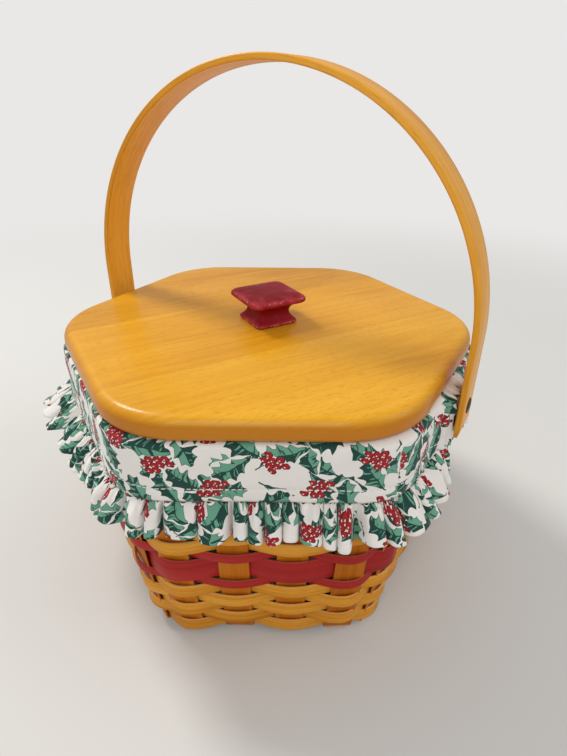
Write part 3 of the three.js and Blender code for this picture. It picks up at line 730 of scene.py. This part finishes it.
row_bottom = FIRST_ROW_BOTTOM
for row, row_height in enumerate(ROW_HEIGHTS, start=1):
    in_front = np.where((np.arange(UPRIGHTS) + row) % 2 == 1, 1, -1)
    weaver = woven_hoop(
        f"woven_splint_{row:02d}", row_bottom, row_height, WEAVER_BOW * in_front, WEAVER_THICKNESS,
        STRIP_EDGE, sway=WEAVER_SWAY,
    )
    splint, slot = (red_splint, "red_splint") if row in RED_ROWS else (tan_splint, "tan_splint")
    finish_piece(weaver, splint, "basket", f"weaver_row_{row:02d}", slot=slot)
    row_bottom += row_height + ROW_GAP

for side_name, side in (("inner", -1), ("outer", 1)):
    band = woven_hoop(
        f"rim_hoop_{side_name}", row_bottom, RIM_HEIGHT - row_bottom, side * BAND_OFFSET,
        BAND_THICKNESS, BAND_EDGE, steps_between=8,
    )
    finish_piece(band, band_ash, "basket", f"rim_band_{side_name}", slot="bent_wood")


def swept_strip(name, centres, across, through, section, widths=1.0, thinness=1.0):
    """A strip along a line of centres, with its width and thickness turned as given at each.

    The widths and the thinness are shares of the section's own.
    """
    width_shares = np.broadcast_to(widths, len(centres))[:, None, None]
    thickness_shares = np.broadcast_to(thinness, len(centres))[:, None, None]
    points = (
        centres[:, None]
        + across[:, None] * (section[None, :, 0, None] * width_shares)
        + through[:, None] * (section[None, :, 1, None] * thickness_shares)
    )
    run = lengths(centres) + random.uniform(0, 3)
    around = lengths(section, closed=True) + random.uniform(0, 3)
    piece = woven_grid(name, points, run, around, close_columns=True)
    cap_ends(piece, len(centres), len(section))
    return piece


def half_strip(face, place, base_height):
    """Centres, width directions and outward directions from an upright's top to its base bend."""
    steps = 22
    bend_steps = 6
    angle = upright_angle(face, place)
    face_angle = face * FACE_ANGLE
    heights = np.linspace(RIM_HEIGHT - UPRIGHT_BELOW_RIM, base_height + STRIP_BEND, steps)
    x, y, _ = upright_point(face, place, heights)
    wall = np.column_stack([x, y, heights])
    level_across = np.array([-math.sin(angle), math.cos(angle), 0.0])
    base_across = np.array([-math.sin(face_angle), math.cos(face_angle), 0.0])
    outward = np.array([math.cos(face_angle), math.sin(face_angle), 0.0])
    down = np.array([0.0, 0.0, -1.0])
    corner = np.array([wall[-1, 0], wall[-1, 1], base_height])
    share = np.linspace(0, 1, bend_steps + 1)[1:, None]
    quarter = share * math.pi / 2
    bend = (
        wall[-1] * (1 - share) ** 2 + 2 * share * (1 - share) * corner
        + (corner - outward * STRIP_BEND) * share**2
    )
    return (
        np.concatenate([wall, bend]),
        unit(np.concatenate([
            np.tile(level_across, (steps, 1)), level_across * (1 - share) + base_across * share,
        ])),
        unit(np.concatenate([
            np.cross(np.gradient(wall, axis=0), -level_across),
            outward * np.cos(quarter) + down * np.sin(quarter),
        ])),
    )


strip_profile = strip_section(STRIP_WIDTH, STRIP_THICKNESS, STRIP_EDGE)
for layer, layer_name in enumerate(LAYER_NAMES):
    base_height = STRIP_THICKNESS / 2 + layer * LAYER_STEP
    for number, place in enumerate(PLACES, start=1):
        near = half_strip(layer, place, base_height)
        far = half_strip(layer + FACES // 2, -place, base_height)
        strip = swept_strip(
            f"upright_splint_{layer_name}_{number}",
            np.concatenate([near[0], far[0][::-1]]),
            np.concatenate([near[1], -far[1][::-1]]),
            np.concatenate([near[2], far[2][::-1]]),
            strip_profile,
        )
        finish_piece(
            strip, upright_splint, "basket", f"through_strip_{layer_name}_{number}",
            slot="tan_splint", crease=60,
        )


# The handle

def handle_strap():
    """Thin steamed ash: straight legs, joined by a half-round arch. The legs' ends are round, and
    are thinned on their outer side below the rivets."""
    tip = PIVOT_HEIGHT - STRAP_END
    rounding = np.linspace(math.pi / 24, math.pi / 2, 10)
    tip_heights = tip + STRAP_WIDTH / 2 * (1 - np.cos(rounding))
    straight = np.linspace(tip_heights[-1], ARCH_HEIGHT, 8)[1:-1]
    leg_heights = np.concatenate([tip_heights, straight])
    leg_widths = np.concatenate([np.sin(rounding), np.ones(len(straight))])
    # Both legs are ends of the arch: their outward direction is that of its first and last point
    angles = np.pad(np.linspace(0, math.pi, ARCH_STEPS), len(leg_heights), mode="edge")
    heights = np.concatenate([leg_heights, np.full(ARCH_STEPS, ARCH_HEIGHT), leg_heights[::-1]])
    widths = np.concatenate([leg_widths, np.ones(ARCH_STEPS), leg_widths[::-1]])
    level = np.zeros(len(angles))
    through = np.column_stack([np.cos(angles), level, np.sin(angles)])
    centres = through * STRAP_RADIUS + np.column_stack([level, level, heights])
    across = np.tile([0.0, -1.0, 0.0], (len(centres), 1))
    thinness = 1 - STRAP_TIP_THINNING * np.clip(1 - (centres[:, 2] - tip) / STRAP_TIP, 0, 1)
    centres -= through * (1 - thinness[:, None]) * STRAP_THICKNESS / 2
    section = strip_section(STRAP_WIDTH, STRAP_THICKNESS, STRAP_EDGE, steps=4)
    return swept_strip("bentwood_handle", centres, across, through, section, widths, thinness)


finish_piece(handle_strap(), handle_ash, "handle", "handle_strap", slot="bent_wood", crease=50)


def rivet(name, side):
    """A bronzed rivet, turned about the X axis: a domed head outside the strap, a shank, and a
    flatter head inside the rim."""
    steps = 48
    low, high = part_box(f"handle_rivet_{name}")
    inner = min(abs(low.x), abs(high.x))
    strap_face = STRAP_RADIUS + STRAP_THICKNESS / 2
    outline = np.array([
        (inner, 0.8 * RIVET_TAIL_RADIUS),
        (inner + 0.4 * MM, 0.975 * RIVET_TAIL_RADIUS),
        (inner + RIVET_TAIL_HEIGHT, RIVET_TAIL_RADIUS),
        (inner + RIVET_TAIL_HEIGHT, RIVET_SHANK_RADIUS),
        (strap_face, RIVET_SHANK_RADIUS),
        *[
            (strap_face + RIVET_DOME_HEIGHT * math.sin(a), RIVET_DOME_RADIUS * math.cos(a))
            for a in np.linspace(0, math.radians(86), 10)
        ],
    ])
    angles = np.linspace(0, 2 * math.pi, steps, endpoint=False)
    points = np.stack([
        np.column_stack([
            np.full(steps, side * x), radius * np.cos(angles), PIVOT_HEIGHT + radius * np.sin(angles),
        ])
        for x, radius in outline
    ])
    piece = woven_grid(
        f"rivet_{name}", points, lengths(outline), np.linspace(0, 30 * MM, steps + 1),
        close_columns=True,
    )
    cap_ends(piece, len(outline), steps)
    return piece


for name, side in (("right", 1), ("left", -1)):
    node = f"handle_rivet_{name}"
    finish_piece(rivet(name, side), bronzed_steel, "basket", node, slot="dark_metal", crease=40)

for kept_solid in ("handle_spacer_right", "handle_spacer_left", "lid_knob_screw"):
    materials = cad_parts[kept_solid].data.materials
    materials.clear()
    materials.append(dull_brass)


# The lid

lid_low, lid_top = (corner.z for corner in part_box("lid_board_middle"))
GRAIN_WAY = np.array([math.cos(LID_GRAIN_ANGLE), math.sin(LID_GRAIN_ANGLE), 0.0])
SIDE_WAY = np.array([-math.sin(LID_GRAIN_ANGLE), math.cos(LID_GRAIN_ANGLE), 0.0])


def lid_blank():
    """The whole lid before it is sawn: rings from the underside, round the bullnose to the top."""
    under_steps = 9
    top_steps = 13
    steps_per_side = 36
    profile = [
        (LID_UNDER_ROUNDING * (1 - math.sin(a)), lid_low + LID_UNDER_ROUNDING * (1 - math.cos(a)))
        for a in np.linspace(0, math.pi / 2, under_steps)
    ] + [
        (LID_TOP_ROUNDING * (1 - math.cos(a)), lid_top - LID_TOP_ROUNDING * (1 - math.sin(a)))
        for a in np.linspace(0, math.pi / 2, top_steps)
    ]
    built = bmesh.new()
    share = np.linspace(0, 1, FACES * steps_per_side, endpoint=False)
    rings = []
    for inset, height in profile:
        x, y, _ = round_hexagon(share, LID_APOTHEM - inset, LID_CORNER_RADIUS - inset)
        rings.append([built.verts.new((*place, height)) for place in zip(x, y)])
    for low, high in zip(rings, rings[1:]):
        for step in range(-1, len(share) - 1):
            built.faces.new((low[step], low[step + 1], high[step + 1], high[step]))
    built.faces.new(rings[0][::-1])
    built.faces.new(rings[-1])
    return built


def lid_board(board, low_side, high_side):
    """One board: the part of the blank between two distances to the side of the lid's middle."""
    built = lid_blank()
    side_way = Vector(SIDE_WAY)
    grain_way = Vector(GRAIN_WAY)
    for limit, direction in ((low_side, -1), (high_side, 1)):
        if limit is None:
            continue
        cut = bmesh.ops.bisect_plane(
            built, geom=built.verts[:] + built.edges[:] + built.faces[:], dist=1e-7,
            plane_co=side_way * limit, plane_no=side_way * direction, clear_outer=True,
        )
        edges = [e for e in cut["geom_cut"] if isinstance(e, bmesh.types.BMEdge)]
        bmesh.ops.contextual_create(built, geom=edges)
    bmesh.ops.recalc_face_normals(built, faces=built.faces)
    layer = built.loops.layers.uv.new("GrainMap")
    shift = random.uniform(0, 3, 2)
    for face in built.faces:
        for corner in face.loops:
            place = corner.vert.co
            across = place.dot(side_way) + 0.8 * (place.z - lid_top)
            corner[layer].uv = (place.dot(grain_way) + shift[0], across + shift[1])
    piece = place_mesh(mesh_from(built, f"maple_board_{board}"))
    finish_piece(piece, lid_maple[board], "lid", f"lid_board_{board}", slot="lid_wood", crease=35)


lid_board("back", LID_SEAM + SEAM_HALF, None)
lid_board("middle", -LID_SEAM + SEAM_HALF, LID_SEAM - SEAM_HALF)
lid_board("front", None, -LID_SEAM - SEAM_HALF)


def lid_cleat(number):
    """A planed batten under the lid, with softened edges, across the boards' grain."""
    steps = 9
    node = f"lid_cleat_{number}"
    corners = np.array([v.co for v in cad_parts[node].data.vertices])
    span = np.ptp(corners @ SIDE_WAY)
    along = np.linspace(-span / 2, span / 2, steps)[:, None]
    section = strip_section(
        np.ptp(corners @ GRAIN_WAY), np.ptp(corners[:, 2]), CLEAT_EDGE, steps=4,
    )
    piece = swept_strip(
        f"batten_{number}", (corners.max(0) + corners.min(0)) / 2 + along * SIDE_WAY,
        np.tile(GRAIN_WAY, (steps, 1)), np.tile([0.0, 0.0, 1.0], (steps, 1)), section,
    )
    finish_piece(piece, cleat_maple, "lid", node, slot="lid_wood", crease=50)


for cleat_number in (1, 2):
    lid_cleat(cleat_number)


# The knob. Each ring is a square with rounded corners: its half width and its height, both in
# millimetres, and how far its paint is rubbed away, from 0 to 1.
KNOB_RINGS = [
    (15.0, 0.0, 0.6), (16.1, 0.5, 1.0), (16.2, 1.6, 1.0), (15.2, 2.7, 0.5), (13.2, 4.4, 0.1),
    (11.9, 6.6, 0.0), (11.6, 8.8, 0.0), (12.3, 11.2, 0.0), (14.2, 13.4, 0.0), (17.4, 14.9, 0.0),
    (19.8, 15.7, 0.1), (20.8, 16.6, 0.5), (20.9, 17.8, 0.8), (20.4, 19.2, 1.0), (19.4, 20.0, 0.9),
    (17.4, 20.6, 0.1), (11.0, 21.1, 0.0), (2.5, 21.4, 0.0),
]


def knob():
    corner_steps = 7
    turns = np.repeat(np.arange(4) * math.pi / 2, corner_steps)
    angles = turns + np.tile(np.linspace(0, math.pi / 2, corner_steps), 4)
    rings = []
    for half_width, height, _ in KNOB_RINGS:
        radius = half_width * KNOB_CORNER_SHARE
        straight = half_width - radius
        along = straight * (np.cos(turns) - np.sin(turns)) + radius * np.cos(angles)
        beside = straight * (np.sin(turns) + np.cos(turns)) + radius * np.sin(angles)
        foot = np.array([0.0, 0.0, lid_top + KNOB_SEAT + height * MM])
        rings.append(foot + (along[:, None] * GRAIN_WAY + beside[:, None] * SIDE_WAY) * MM)
    points = np.stack(rings)
    columns = points.shape[1]
    piece = woven_grid(
        "cranberry_knob", points, np.linspace(0, 50 * MM, len(points)),
        np.linspace(0, 140 * MM, columns + 1), close_columns=True,
    )
    wear = np.repeat([rubbed for _, _, rubbed in KNOB_RINGS], columns)
    edge_wear = piece.data.attributes.new("EdgeWear", "FLOAT", "POINT")
    edge_wear.data.foreach_set("value", wear.astype(np.float32))
    cap_ends(piece, len(points), columns)
    smoother = piece.modifiers.new("rounded", "SUBSURF")
    smoother.levels = 2
    smoother.render_levels = 2
    return piece


finish_piece(knob(), knob_paint, "lid", "lid_knob", slot="painted_knob")


# The liner

cloth_low, cloth_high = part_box("liner_side")
skirt_apothem = cloth_high.x - CLOTH / 2
skirt_perimeter = FACES * side_length(skirt_apothem, SKIRT_CORNER_RADIUS)
rim_top = cloth_high.z - CLOTH_BELOW_TOP
HANDLE_SHARES = np.array([0.5 / FACES, 3.5 / FACES])


def from_handle(share):
    """How far each share of the way round lies from the nearer leg of the handle, in metres."""
    apart = np.abs(share[:, None] - HANDLE_SHARES[None, :])
    return np.minimum(apart, 1 - apart).min(axis=1) * skirt_perimeter


def slow_noise(share, waves, seed):
    """A smooth closed random curve round the basket, from -1 to 1."""
    draw = np.random.RandomState(seed)
    total = np.zeros_like(share)
    for wave in waves:
        total += np.sin(2 * math.pi * (wave * share + draw.uniform())) * draw.uniform(0.5, 1)
    return total / len(waves)


def thicken(piece):
    """Gives a cloth its thickness, to both sides of its middle."""
    solid = piece.modifiers.new("cloth_thickness", "SOLIDIFY")
    solid.thickness = CLOTH
    solid.offset = 0
    bpy.context.view_layer.objects.active = piece
    piece.select_set(True)
    bpy.ops.object.modifier_apply(modifier=solid.name)
    piece.select_set(False)
    return piece


def cloth_ring(share, apothem, radius, height, push, sway=0.0):
    """Points round the basket at a height, moved outward and along by the given amounts."""
    x, y, angle = round_hexagon(share, apothem, radius)
    return np.column_stack([
        x + push * np.cos(angle) - sway * np.sin(angle),
        y + push * np.sin(angle) + sway * np.cos(angle),
        np.broadcast_to(height, share.shape),
    ])


def skirt_push(share, height):
    """How far the skirt stands out of its plain form: bunched beside the strap, with pull folds
    that run out from above the rivet, slow wrinkles elsewhere, and a crease along the stitching."""
    bunch_depth = 3.8 * MM
    bunch_reach = 13 * MM
    pucker_depth = 2.8 * MM
    pucker_pitch = 7.5 * MM
    first_pucker = 9.5 * MM
    fold_depth = 1.1 * MM
    fold_reach = 55 * MM
    folds_per_turn = 16
    folds_start_way = -4 * MM
    folds_start_height = PIVOT_HEIGHT + 14 * MM
    wrinkle_depth = 0.5 * MM
    crease_depth = 0.45 * MM
    crease_half = 1.1 * MM
    way = from_handle(share)
    fallen = (rim_top - height) / (rim_top - SKIRT_BOTTOM)
    beside = np.exp(-(np.maximum(way - BEHIND_STRAP, 0) / bunch_reach) ** 2)
    pulled = np.exp(-way / fold_reach)
    uneven = slow_noise(share, (11, 19, 33, 47), 6)
    puckers = np.cos(2 * math.pi * (way - first_pucker) / pucker_pitch * (1 + 0.5 * uneven))
    direction = np.arctan2(folds_start_height - height, way - folds_start_way)
    folds = np.maximum(np.cos(folds_per_turn * direction + 3.0 * uneven), -0.3)
    wrinkles = slow_noise(share + 0.05 * fallen, (9, 17, 26, 38), 9)
    crease = np.exp(-((height - SKIRT_BOTTOM - STITCH_ABOVE_EDGE) / crease_half) ** 2)
    bunched = beside * (bunch_depth + pucker_depth * puckers) + pulled * fold_depth * (1 + folds)
    return (
        smooth_share(0.12 + fallen * 8) * bunched
        + smooth_share(fallen * 3) * wrinkle_depth * (1 + wrinkles)
        - crease_depth * crease
    )


def open_slits(piece):
    """Takes away the skirt's cloth behind each leg of the strap, below the rim."""
    slit_half = 8 * MM
    slit_top = rim_top - 3.5 * MM
    outside = skirt_apothem - 2 * MM
    built = bmesh.new()
    built.from_mesh(piece.data)
    slit = []
    for face in built.faces:
        middle = face.calc_center_median()
        if abs(middle.x) > outside and abs(middle.y) < slit_half and middle.z < slit_top:
            slit.append(face)
    bmesh.ops.delete(built, geom=slit, context="FACES")
    built.to_mesh(piece.data)
    built.free()


def liner_side():
    """The bag's wall, turned over the rim and hanging outside it as a skirt."""
    steps = FACES * 120
    bag_rows = 26
    turn_rows = 7
    skirt_rows = 30
    share = np.linspace(0, 1, steps, endpoint=False)
    rows = []
    bag_low = cloth_low.z
    inner_apothem = RIM_APOTHEM - LINER_INSET
    low_apothem = wall_apothem(bag_low) - LINER_INSET
    for height in np.linspace(bag_low, rim_top - RIM_TURN, bag_rows):
        risen = (height - bag_low) / (rim_top - bag_low)
        apothem = low_apothem + (inner_apothem - low_apothem) * risen
        slack = BAG_SLACK * math.sin(math.pi * risen)
        crumple = slow_noise(share + 0.15 * risen, (7, 13, 22, 31), 5) * slack
        radius = wall_radius(height) - LINER_INSET
        rows.append(cloth_ring(share, apothem, radius, height, crumple - slack))
    for angle in np.linspace(0, math.pi, turn_rows)[1:-1]:
        over = (1 - math.cos(angle)) / 2
        apothem = inner_apothem + (skirt_apothem - inner_apothem) * over
        radius = (RIM_CORNER_RADIUS - LINER_INSET) * (1 - over) + SKIRT_CORNER_RADIUS * over
        height = rim_top - RIM_TURN * (1 - math.sin(angle))
        rows.append(cloth_ring(share, apothem, radius, height, 0))
    for height in np.linspace(rim_top - RIM_TURN, SKIRT_BOTTOM + SEAM_EASE, skirt_rows):
        push = skirt_push(share, height)
        rows.append(cloth_ring(share, skirt_apothem, SKIRT_CORNER_RADIUS, height, push))
    points = np.stack(rows)
    down = lengths(points[:, steps // 4])
    piece = woven_grid(
        "liner_bag_and_skirt", points.transpose(1, 0, 2), np.linspace(0, skirt_perimeter, steps + 1),
        down, close_rows=True, uv_name="ClothMap",
    )
    open_slits(piece)
    return thicken(piece), skirt_perimeter, down[-1]


liner, liner_width, liner_length = liner_side()
finish_piece(liner, cotton, "basket", "liner_side", slot="printed_cotton")


def liner_bottom():
    """The bag's bottom panel, lying a little rumpled on the base strips."""
    clear_of_bag = 0.6 * MM
    rumple_depth = 0.35 * MM
    steps = FACES * 24
    rings = 24
    low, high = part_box("liner_bottom")
    apothem = wall_apothem(low.z) - LINER_INSET - clear_of_bag
    radius = wall_radius(low.z) - LINER_INSET
    share = np.linspace(0, 1, steps, endpoint=False)
    places = []
    for scale in np.linspace(1, 0.02, rings):
        x, y, _ = round_hexagon(share, apothem * scale, radius * scale)
        waves = np.sin(x * 61 + y * 37) + np.sin(y * 83 - x * 23)
        rumple = rumple_depth * waves * math.sin(math.pi * scale)
        places.append(np.column_stack([x, y, (low.z + high.z) / 2 + np.abs(rumple)]))
    piece = woven_grid(
        "liner_floor", np.stack(places), np.zeros(rings), np.zeros(steps + 1), close_columns=True,
        uv_name="ClothMap",
    )
    layer = piece.data.uv_layers["ClothMap"].uv
    for loop in piece.data.loops:
        layer[loop.index].vector = piece.data.vertices[loop.vertex_index].co.xy
    return thicken(piece), 2 * apothem


floor_piece, floor_width = liner_bottom()
finish_piece(floor_piece, cotton, "basket", "liner_bottom", slot="printed_cotton")


def nearness(x, y, angle):
    """How near a place is to the way that an angle points, from 0 to 1, falling off sharply."""
    return np.maximum(np.cos(np.arctan2(y, x) - angle), 0) ** 8


def ruffle():
    """A gathered strip. Small tight gathers at the seam open into wide round flutes, which nearly
    touch and leave narrow gaps between them. It is calmer behind the strap, turned up at the left
    and spread at the right front."""
    flute_depth = 4.5 * MM
    gather_depth = 1.5 * MM
    flare_all_round = 4.2 * MM
    flare_left = 12 * MM
    flare_right = 6 * MM
    lift_left = 4 * MM
    fold_lift = 0.6 * MM
    steps_per_fold = 26
    row_count = 30
    open_row = 17
    share = np.linspace(0, 1, RUFFLE_FOLDS * steps_per_fold, endpoint=False)
    uneven = 0.7 * slow_noise(share, (13, 19, 27, 35), 21) + 0.6 * slow_noise(share, (5, 7), 22)
    phase = 2 * math.pi * (RUFFLE_FOLDS * share + uneven)
    deep = 1 + 0.5 * slow_noise(share, (13, 19, 27, 37), 23)
    fold = 1 - 2.2 * (0.5 - 0.5 * np.cos(phase)) ** 2
    wide = 0.62 + 0.35 * slow_noise(share, (8, 14, 24), 24)
    hang = 1 + 0.2 * slow_noise(share, (15, 26, 37), 25)
    gather = np.cos(GATHERS_PER_FOLD * phase + 2.0 * slow_noise(share, (31, 43, 57), 26))
    seam_apothem = skirt_apothem - SEAM_EASE
    seam_length = FACES * side_length(seam_apothem, SKIRT_CORNER_RADIUS)
    one_turn = seam_length / RUFFLE_FOLDS / (2 * math.pi)
    x, y, _ = round_hexagon(share, seam_apothem, SKIRT_CORNER_RADIUS)
    behind_strap = np.exp(-(from_handle(share) / np.where(y > 0, 60 * MM, 20 * MM)) ** 2)
    calm = np.where(y > 0, 0.85, 0.55) * behind_strap
    at_left = nearness(x, y, math.radians(216))
    at_right = nearness(x, y, math.radians(334.8))
    flare = flare_all_round + flare_left * at_left + flare_right * at_right
    flare *= 1 - 0.9 * behind_strap
    seam = skirt_push(share, SKIRT_BOTTOM) * (1 - calm)
    rows = []
    # The rows lie closer together near the seam
    for down in np.linspace(0, 1, row_count) ** 1.3:
        opened = 1 - (1 - min(down * 2.4, 1.0)) ** 2
        depth = flute_depth * opened * deep * (1 - calm)
        tight = gather_depth * (1 - down) ** 1.4
        out = SEAM_EASE + flare * (0.35 * down + 0.65 * down**2 * (1.7 - 0.7 * down))
        push = seam + out + depth * (fold + 0.6) + tight * gather
        slide = one_turn * opened * wide * np.sin(phase)
        sway = slide * (1 + push / (2 * SKIRT_CORNER_RADIUS))
        lift = (lift_left * at_left + fold_lift * (1 + fold)) * down**2
        height = SKIRT_BOTTOM - SEAM_EASE - RUFFLE_DROP * down * hang + lift
        rows.append(cloth_ring(share, seam_apothem, SKIRT_CORNER_RADIUS, height, push, sway))
    points = np.stack(rows)
    # The cut width is that of a row where the flutes are fully open
    flat_width = lengths(points[open_row], closed=True)
    flat_length = lengths(points[:, 0])
    piece = woven_grid(
        "gathered_ruffle", points.transpose(1, 0, 2), flat_width, flat_length,
        close_rows=True, uv_name="ClothMap",
    )
    return thicken(piece), flat_width[-1], flat_length[-1]


frill, frill_width, frill_length = ruffle()
finish_piece(frill, cotton, "basket", "liner_ruffle", slot="printed_cotton")


def top_stitching():
    """The white line of stitches that closes the skirt's casing, above its lower edge."""
    sides = 6
    thread_radius = 0.26 * MM
    tip_radius = 0.05 * MM
    above_cloth = 0.12 * MM
    stations = np.array([-0.5, -0.35, 0.35, 0.5]) * STITCH / skirt_perimeter
    radii = np.array([tip_radius, thread_radius, thread_radius, tip_radius])[:, None]
    turns = 2 * math.pi * np.arange(sides) / sides
    height = SKIRT_BOTTOM + STITCH_ABOVE_EDGE
    on_cloth = skirt_apothem + CLOTH / 2 + above_cloth
    stitch_faces = [tuple(reversed(range(sides))), tuple(range(3 * sides, 4 * sides))]
    for ring in range(3):
        for side in range(sides):
            a = ring * sides + side
            b = ring * sides + (side + 1) % sides
            stitch_faces.append((a, b, b + sides, a + sides))
    points = []
    faces = []
    count = int(skirt_perimeter / STITCH_PITCH)
    for number in range(count):
        if from_handle(np.array([number / count]))[0] < BEHIND_STRAP:
            continue
        faces += [tuple(len(points) + corner for corner in face) for face in stitch_faces]
        shares = (number / count + stations) % 1
        x, y, angle = (value[:, None] for value in round_hexagon(shares, on_cloth, SKIRT_CORNER_RADIUS))
        out = skirt_push(shares, height)[:, None] + radii * np.cos(turns)
        points.extend(np.stack([
            x + out * np.cos(angle), y + out * np.sin(angle), height + radii * np.sin(turns),
        ], axis=-1).reshape(-1, 3))
    return mesh_object("skirt_top_stitching", points, faces)


finish_piece(top_stitching(), thread, "basket", slot="printed_cotton")


# The stage: a pale floor, a pale backdrop of the world's own colour, and soft light

BACKDROP = "E9E8E6"
BASKET_MIDDLE = Vector((0.0, 0.0, 0.17))


def fading_floor():
    """A matt pale floor that keeps the basket's shadow and fades into the backdrop further off."""
    material, add = new_material("pale_floor")
    surface = add("BsdfPrincipled", {"Base Color": "D3D3D1", "Roughness": 0.9})
    away = add("VectorMath LENGTH", add("TexCoord").outputs["Object"])
    fade = add("MapRange", away, 0.4, 1.4, interpolation_type="SMOOTHSTEP")
    shown = add("Math MULTIPLY", fade, add("LightPath").outputs["Is Camera Ray"])
    backdrop = add("Emission", BACKDROP, 1.0)
    add("OutputMaterial", add("MixShader", shown, surface, backdrop))
    return material


def pale_floor():
    built = bmesh.new()
    bmesh.ops.create_circle(built, cap_ends=True, segments=96, radius=14.0)
    piece = place_mesh(mesh_from(built, "studio_floor"))
    piece.location.z = -0.2 * MM
    piece.data.materials.append(fading_floor())


def soft_world():
    world = bpy.data.worlds.new("soft_studio")
    bpy.context.scene.world = world
    world.use_nodes = True
    world.node_tree.nodes.clear()
    add = partial(add_node, world.node_tree)
    seen = add("LightPath").outputs["Is Camera Ray"]
    light = add("Background", (1.0, 0.99, 0.975, 1.0), 0.5)
    backdrop = add("Background", BACKDROP, 1.0)
    add("OutputWorld", add("MixShader", seen, light, backdrop))


def soft_box(name, place, size, power):
    lamp = bpy.data.lights.new(name, "AREA")
    lamp.shape = "DISK"
    lamp.size = size
    lamp.energy = power
    lamp.color = (1.0, 0.97, 0.93)
    holder = bpy.data.objects.new(name, lamp)
    holder.location = place
    holder.rotation_mode = "QUATERNION"
    holder.rotation_quaternion = (BASKET_MIDDLE - Vector(place)).to_track_quat("-Z", "Y")
    bpy.context.scene.collection.objects.link(holder)


pale_floor()
soft_world()
soft_box("key_light", (-1.15, 0.05, 1.55), 0.5, 19.5)
soft_box("side_light", (1.5, 0.5, 1.3), 1.2, 6.5)
soft_box("front_light", (0.7, -1.5, 1.5), 1.4, 13.5)


# The camera, at the photograph's viewing angle

CAMERA_PLACE = (184.43 * MM, -296.39 * MM, 326.8 * MM)
CAMERA_AZIMUTH = math.radians(30)
CAMERA_PITCH = math.radians(28.65)
CAMERA_ROLL = math.radians(0.56)
FOCAL_PIXELS = 522.43
LONG_SIDE_PIXELS = 756
SENSOR = 36.0


def photo_camera():
    lens = bpy.data.cameras.new("photo_camera")
    lens.sensor_fit = "AUTO"
    lens.sensor_width = SENSOR
    lens.lens = FOCAL_PIXELS * SENSOR / LONG_SIDE_PIXELS
    lens.clip_start = 0.01
    lens.clip_end = 60.0
    camera = bpy.data.objects.new("photo_camera", lens)
    camera.location = CAMERA_PLACE
    forward = Vector((
        -math.sin(CAMERA_AZIMUTH) * math.cos(CAMERA_PITCH),
        math.cos(CAMERA_AZIMUTH) * math.cos(CAMERA_PITCH),
        -math.sin(CAMERA_PITCH),
    ))
    roll = Quaternion((0, 0, 1), CAMERA_ROLL)
    camera.rotation_mode = "QUATERNION"
    camera.rotation_quaternion = forward.to_track_quat("-Z", "Y") @ roll
    bpy.context.scene.collection.objects.link(camera)
    bpy.context.scene.camera = camera


photo_camera()
bpy.context.scene.view_settings.view_transform = "Standard"
